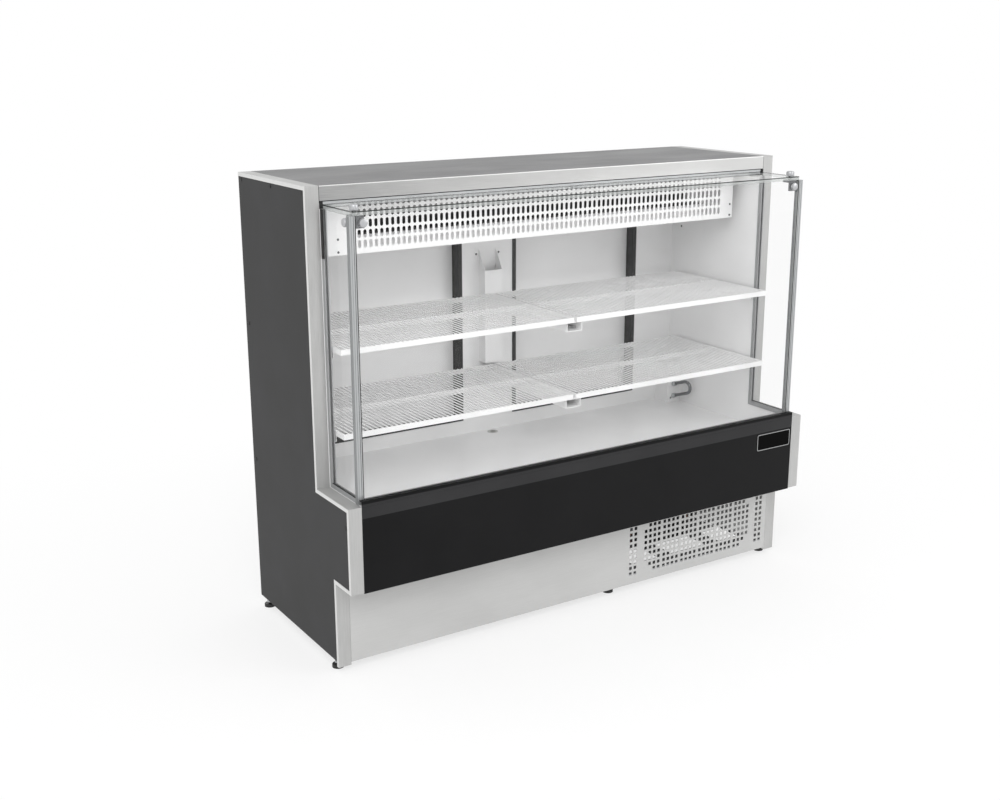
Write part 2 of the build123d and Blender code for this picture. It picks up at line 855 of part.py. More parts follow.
for level, height_name in zip(shelf_levels, ("lower", "upper")):
    for side, end in ((-1, "left"), (1, "right")):
        place = Location((side * (shelf_inner + shelf_half), 0, level))
        save(rack.part.moved(place), f"shelf_{height_name}_{end}")

# Hollow arms that carry the shelves, two on the side liners and one at the middle of each level
with BuildPart() as shelf_arms:
    for level in shelf_levels:
        center_rear_y = cover_front_y if level > cover_bottom else liner_back_y
        arms = (
            (span(-1, liner_half - arm_width, liner_half), arm_front_depth, liner_back_y, arm_height),
            (span(1, liner_half - arm_width, liner_half), arm_front_depth, liner_back_y, arm_height),
            ((-center_arm_half, center_arm_half), center_arm_front_depth, center_rear_y, center_arm_height),
        )
        for x, front_depth, rear_y, tall in arms:
            y = (from_back(front_depth), rear_y)
            block(x, y, (level - tall, level))
            inner_x = (x[0] + arm_wall, x[1] - arm_wall)
            block(inner_x, y, (level - tall + arm_wall, level - arm_wall), Mode.SUBTRACT)
save(shelf_arms.part, "shelf_arms")

# Glass planes
top_glass_bottom = top_glass_top - top_glass_thickness
glass_foot = ledge_height + channel_wall + glass_gap
glass_head = top_glass_bottom - glass_gap
front_glass_y = (from_back(front_glass_depth) - glass / 2, from_back(front_glass_depth) + glass / 2)
side_glass_near = side_glass_middle - glass / 2
side_glass_far = side_glass_middle + glass / 2
post_inner = post_middle - post_size / 2
post_rear_y = post_y + post_size / 2
glass_half = post_inner - glass_gap
channel_front_y = upper_y - channel_height
knob_y = from_back(clamp_knob_depth)
disc_y = from_back(clamp_disc_depth)
glass_hole = knob_stem_radius + glass_hole_gap

# Front glass, side glass and top glass
with BuildPart() as front_glass:
    block((-glass_half, glass_half), front_glass_y, (glass_foot, glass_head))
    for side in (-1, 1):
        start = (side * clamp_disc_x, front_glass_y[0], clamp_disc_height)
        rod(start, glass_hole, glass, "Y", Mode.SUBTRACT)
save(front_glass.part, "front_glass")

with BuildPart() as side_glass:
    for side in (-1, 1):
        y = (post_rear_y + glass_gap, upper_y - channel_wall - glass_gap)
        block(span(side, side_glass_near, side_glass_far), y, (glass_foot, glass_head))
        start = (side * side_glass_near, disc_y, clamp_disc_height)
        rod(start, glass_hole, side * glass, "X", Mode.SUBTRACT)
save(side_glass.part, "side_glass")

with BuildPart() as top_glass:
    y = (from_back(top_glass_front), upper_y + top_glass_tuck)
    block((-top_glass_half, top_glass_half), y, (top_glass_bottom, top_glass_top))
    for side in (-1, 1):
        start = (side * clamp_knob_x, knob_y, top_glass_bottom)
        rod(start, glass_hole, top_glass_thickness, mode=Mode.SUBTRACT)
save(top_glass.part, "top_glass")

# Corner posts with fine grooves on their faces
with BuildPart() as corner_posts:
    for side in (-1, 1):
        x = (side * post_middle - post_size / 2, side * post_middle + post_size / 2)
        y = (post_y - post_size / 2, post_y + post_size / 2)
        z = (ledge_height, glass_head)
        block(x, y, z)
        for offset in (-post_groove_offset, post_groove_offset):
            near = side * post_middle + offset - post_groove / 2
            block((near, near + post_groove), (y[0], y[0] + post_groove), z, Mode.SUBTRACT)
            start = post_y + offset - post_groove / 2
            edge = span(side, post_middle + post_size / 2 - post_groove, post_middle + post_size / 2)
            block(edge, (start, start + post_groove), z, Mode.SUBTRACT)
save(corner_posts.part, "corner_posts")

# Channels that seat the glass: side frames, ledges, front rail, and two ends under the fascia
channel_half = channel_height / 2
slot_half = glass / 2 + glass_gap
with BuildPart() as glass_channels:
    for side in (-1, 1):
        x = span(side, side_glass_middle - channel_half, side_glass_middle + channel_half)
        slot_x = span(side, side_glass_middle - slot_half, side_glass_middle + slot_half)
        block(x, (channel_front_y, upper_y), (ledge_height, glass_head))
        block(x, (post_rear_y, upper_y), (ledge_height, ledge_height + channel_height))
        slot_z = (ledge_height + channel_wall, glass_head)
        block(slot_x, (channel_front_y, upper_y - channel_wall), slot_z, Mode.SUBTRACT)
        block(slot_x, (post_rear_y, channel_front_y), slot_z, Mode.SUBTRACT)
    front_middle_y = from_back(front_glass_depth)
    x = (-glass_half, glass_half)
    front_z = (ledge_height, ledge_height + channel_height)
    block(x, (front_middle_y - channel_half, front_middle_y + channel_half), front_z)
    slot_z = (ledge_height + channel_wall, ledge_height + channel_height)
    block(x, (front_middle_y - slot_half, front_middle_y + slot_half), slot_z, Mode.SUBTRACT)
    rear_y = (fascia_back_y, upper_y + top_glass_tuck + glass_gap + channel_wall)
    for side in (-1, 1):
        x = span(side, top_glass_half - channel_end, top_glass_half)
        block(x, rear_y, (top_glass_bottom - glass_gap - channel_wall, ceiling_height))
        block(
            x,
            (rear_y[0], rear_y[1] - channel_wall),
            (top_glass_bottom - glass_gap, top_glass_top + glass_gap),
            Mode.SUBTRACT,
        )
save(glass_channels.part, "glass_channels")

# Three-way clamps inside the top corners of the glass
clamp_top = top_glass_bottom - glass_gap
with BuildPart() as corner_clamps:
    for side in (-1, 1):
        near = side_glass_near - glass_gap
        front = front_glass_y[1] + glass_gap
        x = span(side, near - clamp_size, near)
        block(x, (front, front + clamp_size), (clamp_top - clamp_size, clamp_top))
        block(
            span(side, post_inner - glass_gap, near),
            (front, post_rear_y + glass_gap),
            (clamp_top - clamp_size, clamp_top),
            Mode.SUBTRACT,
        )
        block(
            span(side, near - clamp_size, near - clamp_wall),
            (front + clamp_wall, front + clamp_size),
            (clamp_top - clamp_size, clamp_top - clamp_wall),
            Mode.SUBTRACT,
        )
        bore = knob_stem_radius + running_gap
        rod((side * clamp_knob_x, knob_y, clamp_top), bore, -clamp_wall, mode=Mode.SUBTRACT)
        start = (side * clamp_disc_x, front, clamp_disc_height)
        rod(start, bore, clamp_wall, "Y", Mode.SUBTRACT)
        start = (side * near, disc_y, clamp_disc_height)
        rod(start, bore, -side * clamp_wall, "X", Mode.SUBTRACT)
save(corner_clamps.part, "corner_clamps")

# Knobs and discs that hold the glass to the clamps
stem = clamp_wall - glass_gap
with BuildPart() as clamp_knobs:
    for side in (-1, 1):
        rod((side * clamp_knob_x, knob_y, top_glass_top), knob_radius, knob_height)
        start = (side * clamp_disc_x, front_glass_y[0], clamp_disc_height)
        rod(start, disc_radius, -disc_thickness, "Y")
        rod((side * side_glass_far, disc_y, clamp_disc_height), disc_radius, side * disc_thickness, "X")
    fillet(clamp_knobs.edges().filter_by(GeomType.CIRCLE), knob_edge)
    for side in (-1, 1):
        start = (side * clamp_knob_x, knob_y, top_glass_top + knob_edge)
        rod(start, knob_stem_radius, -(top_glass_thickness + glass_gap + stem + knob_edge))
        start = (side * clamp_disc_x, front_glass_y[0] - knob_edge, clamp_disc_height)
        rod(start, knob_stem_radius, glass + glass_gap + stem + knob_edge, "Y")
        start = (side * (side_glass_far + knob_edge), disc_y, clamp_disc_height)
        rod(start, knob_stem_radius, -side * (glass + glass_gap + stem + knob_edge), "X")
save(clamp_knobs.part, "clamp_knobs")

# Dark front panel with its return under the overhang
panel_half = inner_half - side_gap
panel_bottom = overhang_height - panel_drop
with BuildPart() as front_panel:
    block((-panel_half, panel_half), (front_y, panel_back_y), (panel_bottom, panel_top))
    under_y = (front_y, kick_y + kick_sheet)
    block((-panel_half, panel_half), under_y, (panel_bottom, panel_bottom + front_sheet))
save(front_panel.part, "front_panel")

# Dark rail over the panel: a band, a fine groove and a top that hides the glass channel
with BuildPart() as front_rail:
    block((-panel_half, panel_half), (front_y, panel_back_y), (panel_top, rail_top))
    rail_back_y = front_middle_y - channel_half
    block((-panel_half, panel_half), (front_y, rail_back_y), (rail_top - front_sheet, rail_top))
    groove_z = (rail_groove_height - rail_groove / 2, rail_groove_height + rail_groove / 2)
    block((-panel_half, panel_half), (front_y, front_y + rail_groove), groove_z, Mode.SUBTRACT)
    fillet(front_rail.edges().filter_by(Axis.X).group_by(Axis.Z)[-1].sort_by(Axis.Y)[0], rail_edge)
save(front_rail.part, "front_rail")

# Bare badge plate with a thin raised border
badge_z = badge_bottom + badge_height / 2
with BuildPart() as badge_plate:
    with BuildSketch(Plane.XZ.offset(-front_y)):
        with Locations((badge_middle, badge_z)):
            RectangleRounded(badge_width, badge_height, badge_corner)
    extrude(amount=badge_thickness)
    with BuildSketch(Plane.XZ.offset(-front_y + badge_thickness)):
        with Locations((badge_middle, badge_z)):
            RectangleRounded(
                badge_width - 2 * badge_border,
                badge_height - 2 * badge_border,
                badge_corner - badge_border,
            )
    extrude(amount=-badge_recess, mode=Mode.SUBTRACT)
save(badge_plate.part, "badge_plate")


def grille_holes():
    """The middles of the square holes: two edge pairs and a block with stepped corners."""
    for first in (hole_left_pair, hole_right_pair):
        for column in range(2):
            for row in range(hole_rows):
                yield first + column * hole_column, hole_bottom + row * hole_row
    columns = hole_groups * hole_per_group
    for column in range(columns):
        group, place = divmod(column, hole_per_group)
        from_edge = min(column, columns - 1 - column)
        lowest = max(0, 2 - from_edge)
        highest = hole_rows - (1 if from_edge == 0 else 0)
        for row in range(lowest, highest):
            x = hole_first + group * hole_group + place * hole_column
            yield x, hole_bottom + row * hole_row


# Kick panel with the punched grille and a folded lower edge
with BuildPart() as kick_panel:
    kick_back_y = kick_y + kick_sheet
    block((-panel_half, panel_half), (kick_y, kick_back_y), (kick_bottom, panel_bottom))
    fold_z = (kick_bottom, kick_bottom + kick_sheet)
    block((-panel_half, panel_half), (kick_y, kick_y + kick_flange), fold_z)
    with BuildSketch(Plane.XZ.offset(-kick_y)):
        with Locations(*grille_holes()):
            Rectangle(hole, hole)
    extrude(amount=-kick_sheet, mode=Mode.SUBTRACT)
save(kick_panel.part, "kick_panel")

# Levelling feet: disc, neck and rounded edge
with BuildPart() as feet:
    places = [
        (x, from_back(y))
        for x in (-foot_side, foot_middle, foot_side)
        for y in (foot_front_depth, foot_rear_depth)
    ]
    for x, y in places:
        rod((x, y, 0), foot_radius, foot_disc)
    fillet(feet.edges().filter_by(GeomType.CIRCLE).group_by(Axis.Z)[-1], foot_edge)
    for x, y in places:
        rod((x, y, foot_disc - foot_edge), foot_neck_radius, sheet_bottom - foot_disc + foot_edge)
save(feet.part, "feet")

# Base tray: open in front of the machinery, with runners that carry the unit plate
tray_top = sheet_bottom + panel_sheet
unit_top = tray_top + unit_plate
with BuildPart() as base_tray:
    across = (-inner_half, inner_half)
    block(across, (kick_back_y, back_y), (sheet_bottom, tray_top))
    for y in ((kick_back_y, kick_back_y + panel_sheet), (back_y - panel_sheet, back_y)):
        block(across, y, (sheet_bottom, sheet_bottom + tray_lip))
    cut_y = (from_back(base_cut_front_depth), from_back(base_cut_rear_depth))
    block((base_cut_left, base_cut_right), cut_y, (sheet_bottom, tray_top), Mode.SUBTRACT)
    for middle in runner_middles:
        x = (middle - runner_width / 2, middle + runner_width / 2)
        block(x, cut_y, (sheet_bottom, tray_top))
    unit_y = (from_back(unit_front_depth), from_back(unit_rear_depth))
    block((unit_left, unit_right), unit_y, (tray_top, unit_top))
save(base_tray.part, "base_tray")

# Compressor: domed shell with two tube stubs, on a plate with rubber feet
compressor_y = from_back(compressor_depth)
shell_bottom = unit_top + compressor_foot_height + compressor_plate
shell_top = shell_bottom + compressor_height
stub_top = shell_top + compressor_stub
stub_points = ((compressor_x, compressor_y), (compressor_x + suction_offset, compressor_y + suction_offset))
shell_plane = Plane((compressor_x, compressor_y, shell_bottom), x_dir=(1, 0, 0), z_dir=(0, -1, 0))
with BuildPart() as compressor:
    with BuildSketch(shell_plane):
        with BuildLine():
            r = compressor_radius
            h = compressor_height
            Polyline((0, h), (0, 0), (0.62 * r, 0))
            ThreePointArc((0.62 * r, 0), (0.92 * r, 0.1 * h), (r, 0.3 * h))
            Line((r, 0.3 * h), (r, 0.66 * h))
            ThreePointArc((r, 0.66 * h), (0.72 * r, 0.9 * h), (0, h))
        make_face()
    revolve(axis=Axis((compressor_x, compressor_y, 0), (0, 0, 1)))
    plate_z = (shell_bottom - compressor_plate, shell_bottom)
    plate_x = (compressor_x - compressor_plate_half, compressor_x + compressor_plate_half)
    plate_y = (compressor_y - compressor_plate_half, compressor_y + compressor_plate_half)
    block(plate_x, plate_y, plate_z)
    for x in plate_x:
        for y in plate_y:
            foot_x = x + math.copysign(compressor_foot_radius, compressor_x - x)
            foot_y = y + math.copysign(compressor_foot_radius, compressor_y - y)
            rod((foot_x, foot_y, unit_top), compressor_foot_radius, compressor_foot_height)
    for x, y in stub_points:
        rod((x, y, stub_top), compressor_stub_radius, -compressor_height / 3)
save(compressor.part, "compressor")

# Condenser: finned core, end plates, fan shroud and a tube stub
condenser_y = (from_back(condenser_front_depth), from_back(condenser_rear_depth))
condenser_x = (condenser_left + condenser_right) / 2
condenser_width = condenser_right - condenser_left
condenser_middle_y = (condenser_y[0] + condenser_y[1]) / 2
condenser_thick = condenser_y[1] - condenser_y[0]
condenser_top = unit_top + condenser_height
shroud_y = (condenser_y[1], condenser_y[1] + shroud_depth)
condenser_fan_z = unit_top + condenser_height / 2
condenser_stub_x = condenser_right - condenser_fin_reach
with BuildPart() as condenser:
    with BuildSketch(Plane.XY.offset(unit_top)):
        with Locations((condenser_x, condenser_middle_y)):
            Rectangle(condenser_width, condenser_thick - 2 * condenser_fin_reach)
            with GridLocations(condenser_fin_pitch, 1, int(condenser_width / condenser_fin_pitch), 1):
                Rectangle(fin_sheet, condenser_thick)
            with GridLocations(condenser_width - coil_end_sheet, 1, 2, 1):
                Rectangle(coil_end_sheet, condenser_thick)
    extrude(amount=condenser_height)
    block((condenser_left, condenser_right), shroud_y, (unit_top, condenser_top))
    block(
        (condenser_left + shroud_sheet, condenser_right - shroud_sheet),
        (shroud_y[0], shroud_y[1] - shroud_sheet),
        (unit_top + shroud_sheet, condenser_top - shroud_sheet),
        Mode.SUBTRACT,
    )
    start = (condenser_x, shroud_y[1] - shroud_sheet, condenser_fan_z)
    rod(start, condenser_fan_radius + shroud_sheet, shroud_sheet, "Y", Mode.SUBTRACT)
    start = (condenser_stub_x, condenser_middle_y, condenser_top)
    rod(start, compressor_stub_radius, compressor_stub)
save(condenser.part, "condenser")

# Condenser fan and its motor on a strut
condenser_hub_y = shroud_y[1] - condenser_hub_length / 2
condenser_motor_y = condenser_hub_y + condenser_hub_length + condenser_fan_gap
condenser_motor_end_y = condenser_motor_y + condenser_motor_length
with BuildPart() as condenser_fan_motor:
    start = (condenser_x, condenser_motor_y, condenser_fan_z)
    rod(start, condenser_motor_radius, condenser_motor_length, "Y")
    rod(start, shaft_radius, -(condenser_fan_gap + condenser_hub_length - fan_shaft_end), "Y")
    strut_x = (condenser_x - motor_strut, condenser_x + motor_strut)
    strut_y = (condenser_motor_end_y - 2 * motor_strut, condenser_motor_end_y - motor_strut)
    block(strut_x, strut_y, (unit_top, condenser_fan_z))
save(condenser_fan_motor.part, "condenser_fan_motor")

hub_start = (condenser_x, condenser_hub_y, condenser_fan_z)
fan(hub_start, condenser_fan_radius, condenser_hub_radius, condenser_hub_length, "condenser_fan")

# Copper tubes: discharge to the condenser, and suction up to the cold space
with BuildPart() as refrigerant_tubes:
    with BuildLine():
        FilletPolyline(
            (compressor_x, compressor_y, stub_top),
            (compressor_x, compressor_y, tube_height),
            (compressor_x, condenser_middle_y, tube_height),
            (condenser_stub_x, condenser_middle_y, tube_height),
            (condenser_stub_x, condenser_middle_y, condenser_top + compressor_stub),
            radius=tube_bend,
        )
    with BuildSketch(Plane((compressor_x, compressor_y, stub_top), z_dir=(0, 0, 1))):
        Circle(tube_radius)
    sweep()
    x, y = stub_points[1]
    rod((x, y, stub_top), tube_radius, compartment_height - stub_top)
save(refrigerant_tubes.part, "refrigerant_tubes")

# Control box under the compartment ceiling, with a shaft for the knob and lugs for the switch
control_x = (control_left, control_left + control_width)
control_y = (from_back(control_depth + control_reach), from_back(control_depth))
control_z = (compartment_height - control_height, compartment_height)
control_middle_z = compartment_height - control_height / 2
knob_x = control_left + thermostat_offset
switch_x = control_left + switch_offset
switch_y = control_y[1] - switch_sink
gland_x = control_left + gland_offset
gland_y = (control_y[0] + control_y[1]) / 2
window_half = switch_width / 2 + switch_side_gap
with BuildPart() as control_box:
    block(control_x, control_y, control_z)
    block(
        (control_x[0] + control_sheet, control_x[1] - control_sheet),
        (control_y[0] + control_sheet, control_y[1] - control_sheet),
        (control_z[0] + control_sheet, control_z[1]),
        Mode.SUBTRACT,
    )
    rod((knob_x, control_y[1], control_middle_z), knob_shaft_radius, knob_shaft_length, "Y")
    window_z = (
        control_middle_z - switch_half - switch_gap,
        control_middle_z + switch_half + switch_gap,
    )
    window_x = (switch_x - window_half, switch_x + window_half)
    block(window_x, (control_y[1] - control_sheet, control_y[1]), window_z, Mode.SUBTRACT)
    for near in (window_x[0] - switch_lug, window_x[1]):
        lug_y = (switch_y - 2 * switch_pin_radius, control_y[1] - control_sheet)
        lug_z = (control_middle_z - switch_rear, control_middle_z + switch_rear)
        block((near, near + switch_lug), lug_y, lug_z)
    pin_start = (window_x[0] - switch_lug, switch_y, control_middle_z)
    rod(pin_start, switch_pin_radius, 2 * (window_half + switch_lug), "X")
    start = (gland_x, gland_y, control_z[0])
    rod(start, gland_neck_radius + running_gap, control_sheet, mode=Mode.SUBTRACT)
save(control_box.part, "control_box")

# Cable gland with its bore
with BuildPart() as cable_gland:
    rod((gland_x, gland_y, control_z[0]), gland_radius, -gland_length)
    chamfer(cable_gland.edges().filter_by(GeomType.CIRCLE).group_by(Axis.Z)[0], gland_radius / 4)
    neck_length = control_sheet + gland_neck_length
    rod((gland_x, gland_y, control_z[0]), gland_neck_radius, neck_length)
    start = (gland_x, gland_y, control_z[0] - gland_length)
    rod(start, gland_bore_radius, gland_length + neck_length, mode=Mode.SUBTRACT)
save(cable_gland.part, "cable_gland")

# Thermostat knob with a pointer groove
with BuildPart() as thermostat_knob:
    knob_face_y = control_y[1] + rest_gap
    start = (knob_x, knob_face_y, control_middle_z)
    rod(start, thermostat_radius, thermostat_height, "Y")
    chamfer(thermostat_knob.edges().filter_by(GeomType.CIRCLE).group_by(Axis.Y)[-1], thermostat_edge)
    bore_length = knob_shaft_length
    rod(start, knob_shaft_radius + running_gap, bore_length, "Y", Mode.SUBTRACT)
    knob_end_y = knob_face_y + thermostat_height
    block(
        (knob_x - pointer_width / 2, knob_x + pointer_width / 2),
        (knob_end_y - pointer_depth, knob_end_y),
        (control_middle_z, control_middle_z + thermostat_radius),
        Mode.SUBTRACT,
    )
save(thermostat_knob.part, "thermostat_knob")

# Rocker switch, modelled in its off position
rocker_plane = Plane(
    (switch_x - switch_width / 2, switch_y, control_middle_z),
    x_dir=(0, math.cos(math.radians(switch_tilt)), -math.sin(math.radians(switch_tilt))),
    z_dir=(1, 0, 0),
)
with BuildPart() as main_switch:
    with BuildSketch(rocker_plane):
        with BuildLine():
            Polyline(
                (-switch_rear, -switch_half),
                (switch_front, -switch_half),
                (switch_dip, 0),
                (switch_front, switch_half),
                (-switch_rear, switch_half),
                close=True,
            )
        make_face()
        Circle(switch_pin_radius + running_gap, mode=Mode.SUBTRACT)
    extrude(amount=switch_width)
save(main_switch.part, "main_switch")


def screw(place, stem_length):
    """A flat-headed screw on a plane that faces out of the sheet it holds."""
    with BuildSketch(place) as head:
        Circle(screw_radius)
    extrude(head.sketch, amount=screw_head)
    with BuildSketch(place) as shank:
        Circle(screw_stem_radius)
    extrude(shank.sketch, amount=-stem_length)


# Screws of the duct cover, wall cover, side liners and service box
with BuildPart() as screws:
    for side in (-1, 1):
        for row in duct_screw_rows:
            spot = (duct_shift + side * duct_screw_x, duct_y, duct_bottom + row)
            screw(Plane(spot, z_dir=(0, -1, 0)), duct_sheet)
        spot = (side * cover_screw_x, liner_back_y - duct_sheet, cover_screw_z)
        screw(Plane(spot, z_dir=(0, -1, 0)), duct_sheet)
        for z in liner_screw_heights:
            spot = (side * liner_half, liner_screw_y, z)
            screw(Plane(spot, z_dir=(-side, 0, 0)), liner_sheet)
    spot = (service_screw_x, service_front_y, service_screw_z)
    screw(Plane(spot, z_dir=(0, -1, 0)), duct_sheet)
save(screws.part, "screws")
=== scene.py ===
from math import cos, pi, radians, sin

import bmesh
import bpy
from mathutils import Matrix, Vector


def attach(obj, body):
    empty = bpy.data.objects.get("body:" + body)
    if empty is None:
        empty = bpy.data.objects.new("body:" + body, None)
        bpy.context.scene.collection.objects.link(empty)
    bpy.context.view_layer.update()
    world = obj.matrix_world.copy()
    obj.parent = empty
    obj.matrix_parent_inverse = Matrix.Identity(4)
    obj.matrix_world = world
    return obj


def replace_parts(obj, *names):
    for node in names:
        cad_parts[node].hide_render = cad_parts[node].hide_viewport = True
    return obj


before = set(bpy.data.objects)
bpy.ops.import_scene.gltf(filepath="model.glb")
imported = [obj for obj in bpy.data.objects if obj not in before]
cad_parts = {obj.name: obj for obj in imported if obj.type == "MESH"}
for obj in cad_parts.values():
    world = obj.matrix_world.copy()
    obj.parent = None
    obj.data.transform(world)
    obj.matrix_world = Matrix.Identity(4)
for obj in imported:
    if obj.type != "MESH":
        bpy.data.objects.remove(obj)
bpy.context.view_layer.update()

# Side frames: folded stainless bars round the stepped outline, satin brushed along their length,
# with the faces that look along X painted lighter as a painted highlight. The other sheets share the way the
# grain is made.


def tone(code):
    """A written sheet colour as the plain light values that the shader takes."""
    parts = [int(code[i : i + 2], 16) / 255 for i in (0, 2, 4)]
    return [p / 12.92 if p <= 0.04045 else ((p + 0.055) / 1.055) ** 2.4 for p in parts] + [1]


class Finish:
    """One finish on the counter. It holds the material and lays patterns into its shader."""

    def __init__(self, name, colour, rough, metal=0.0, shine=0.5):
        self.material = bpy.data.materials.new(name)
        self.material.use_nodes = True
        self.tree = self.material.node_tree
        self.shader = self.tree.nodes["Principled BSDF"]
        self.shader.inputs["Base Color"].default_value = tone(colour)
        self.shader.inputs["Roughness"].default_value = rough
        self.shader.inputs["Metallic"].default_value = metal
        self.shader.inputs["Specular IOR Level"].default_value = shine
        self.place = self.tree.nodes.new("ShaderNodeTexCoord")

    def join(self, source, target):
        self.tree.links.new(source, target)

    def grain(self, size, stretch=(1, 1, 1), depth=3.0, rough=0.55, turn=(0, 0, 0)):
        """Uneven grain of about that size in metres, drawn out along each axis by stretch."""
        mapping = self.tree.nodes.new("ShaderNodeMapping")
        mapping.inputs["Scale"].default_value = [1 / (size * s) for s in stretch]
        mapping.inputs["Rotation"].default_value = turn
        noise = self.tree.nodes.new("ShaderNodeTexNoise")
        noise.inputs["Scale"].default_value = 1.0
        noise.inputs["Detail"].default_value = depth
        noise.inputs["Roughness"].default_value = rough
        self.join(self.place.outputs["Object"], mapping.inputs["Vector"])
        self.join(mapping.outputs["Vector"], noise.inputs["Vector"])
        return noise.outputs["Fac"]

    def flakes(self, size):
        """Crystals of about that size, each with a value of its own, as on zinc."""
        mapping = self.tree.nodes.new("ShaderNodeMapping")
        mapping.inputs["Scale"].default_value = [1 / size] * 3
        cells = self.tree.nodes.new("ShaderNodeTexVoronoi")
        cells.inputs["Scale"].default_value = 1.0
        self.join(self.place.outputs["Object"], mapping.inputs["Vector"])
        self.join(mapping.outputs["Vector"], cells.inputs["Vector"])
        split = self.tree.nodes.new("ShaderNodeSeparateColor")
        self.join(cells.outputs["Color"], split.inputs["Color"])
        return split.outputs["Red"]

    def spread(self, source, low, high, start=0.3, end=0.7):
        """The pattern as a number that runs from low to high."""
        node = self.tree.nodes.new("ShaderNodeMapRange")
        for name, value in (("From Min", start), ("From Max", end), ("To Min", low), ("To Max", high)):
            node.inputs[name].default_value = value
        self.join(source, node.inputs["Value"])
        return node.outputs["Result"]

    def sum(self, first, second, kind="ADD"):
        node = self.tree.nodes.new("ShaderNodeMath")
        node.operation = kind
        for source, target in zip((first, second), node.inputs):
            if isinstance(source, float):
                target.default_value = source
            else:
                self.join(source, target)
        return node.outputs[0]

    def facing(self, axis, low=0.5, high=0.8):
        """1 on faces that look along the axis or against it, and 0 on the others."""
        split = self.tree.nodes.new("ShaderNodeSeparateXYZ")
        self.join(self.place.outputs["Normal"], split.inputs[0])
        size = self.sum(split.outputs["XYZ".index(axis)], 0.0, "ABSOLUTE")
        return self.spread(size, 0.0, 1.0, low, high)

    def along(self, axis, low, high):
        """0 before the first place on that axis, in metres, and 1 past the second."""
        split = self.tree.nodes.new("ShaderNodeSeparateXYZ")
        self.join(self.place.outputs["Object"], split.inputs[0])
        return self.spread(split.outputs["XYZ".index(axis)], 0.0, 1.0, low, high)

    def blend(self, factor, first, second):
        """A colour between two, which are written colours or patterns."""
        node = self.tree.nodes.new("ShaderNodeMix")
        node.data_type = "RGBA"
        self.join(factor, node.inputs[0])
        for source, target in ((first, node.inputs[6]), (second, node.inputs[7])):
            if isinstance(source, str):
                target.default_value = tone(source)
            else:
                self.join(source, target)
        return node.outputs[2]

    def colour(self, source):
        self.join(source, self.shader.inputs["Base Color"])

    def rough(self, source):
        self.join(source, self.shader.inputs["Roughness"])

    def dent(self, source, depth, strength=1.0):
        """The pattern pressed into the surface to that depth in metres."""
        bump = self.tree.nodes.new("ShaderNodeBump")
        bump.inputs["Distance"].default_value = depth
        bump.inputs["Strength"].default_value = strength
        self.join(source, bump.inputs["Height"])
        self.join(bump.outputs["Normal"], self.shader.inputs["Normal"])

    def coat(self, *names):
        """Puts the finish on pieces of the frame."""
        for name in names:
            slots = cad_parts[name].material_slots
            for slot in slots:
                slot.material = self.material


def brushed(name, dark, light, along, rough, metal=0.9, shine=0.5, size=0.0007):
    """Satin brushed sheet: fine lines along one axis over slow clouds."""
    finish = Finish(name, light, rough, metal, shine)
    stretch = [90.0 if axis == along else 1.0 for axis in "XYZ"]
    lines = finish.grain(size, stretch, 4.0, 0.7)
    clouds = finish.grain(0.09, [2.4 if axis == along else 1.0 for axis in "XYZ"], 3.0)
    mixed = finish.sum(finish.spread(lines, 0.0, 0.6), finish.spread(clouds, 0.0, 0.4))
    finish.colour(finish.blend(mixed, dark, light))
    finish.rough(finish.spread(mixed, rough + 0.07, rough - 0.07, 0.0, 1.0))
    finish.dent(lines, 0.00002)
    return finish


frame_steel = brushed("side_frame_satin_steel", "ABABAA", "C5C5C4", "Z", 0.42, 0.5)
frame_tone = frame_steel.shader.inputs["Base Color"].links[0].from_socket
# Painted highlight: the faces that look along X are painted lighter than the front faces of the same sheet.
frame_steel.colour(frame_steel.blend(frame_steel.facing("X"), frame_tone, "DCDCDB"))
frame_steel.coat("side_frame_left", "side_frame_right")

# Kick panel and base tray: pressed sheet along the floor, the kick panel with its punched grille
# in satin grey and the tray galvanised like the back, with the zinc's crystals showing.


def painted(name, colour, shade, rough, shine=0.5, peel=0.0012, depth=0.00001):
    """Baked paint on sheet: faint orange peel, slow differences of tone and rubbed places."""
    finish = Finish(name, colour, rough, 0.0, shine)
    skin = finish.grain(peel, depth=2.0)
    clouds = finish.grain(0.16, depth=3.0)
    finish.colour(finish.blend(finish.spread(clouds, 0.0, 1.0), shade, colour))
    finish.rough(finish.spread(clouds, rough + 0.05, rough - 0.05))
    finish.dent(skin, depth)
    return finish


kick_paint = brushed("kick_panel_satin_grey", "BCBCBB", "CACAC9", "X", 0.45, 0.25)
kick_paint.coat("kick_panel")

zinc = Finish("galvanised_sheet", "A4A6A8", 0.45, 0.6)
spangle = zinc.flakes(0.009)
zinc.colour(zinc.blend(spangle, "9B9D9F", "B2B4B5"))
zinc.rough(zinc.spread(spangle, 0.36, 0.55, 0.0, 1.0))
zinc.dent(zinc.grain(0.0009, depth=2.0), 0.000015)
zinc.coat("base_tray", "compartment_ceiling", "back_sheet", "control_box")

# Levelling feet: black moulded plastic, screwed into the bottom bars of the side frames and, in the
# middle, under the base tray, with a hexagon nut on each.


def moulded(name, colour, shade, rough, shine=0.4, texture=0.0006, depth=0.00003):
    """Moulded plastic or rubber: an even sparked texture and slightly rubbed, greyer places."""
    finish = Finish(name, colour, rough, 0.0, shine)
    sparks = finish.grain(texture, depth=2.0)
    rubbed = finish.grain(0.02, depth=4.0, rough=0.6)
    finish.colour(finish.blend(finish.spread(rubbed, 0.0, 1.0, 0.35, 0.75), shade, colour))
    finish.rough(finish.spread(rubbed, rough - 0.08, rough + 0.06))
    finish.dent(sparks, depth)
    return finish


black_plastic = moulded("black_moulded_plastic", "232323", "2E2E2E", 0.55)
black_plastic.coat("feet", "cable_gland", "thermostat_knob", "main_switch")
black_plastic.coat("evaporator_fan_left", "evaporator_fan_right")


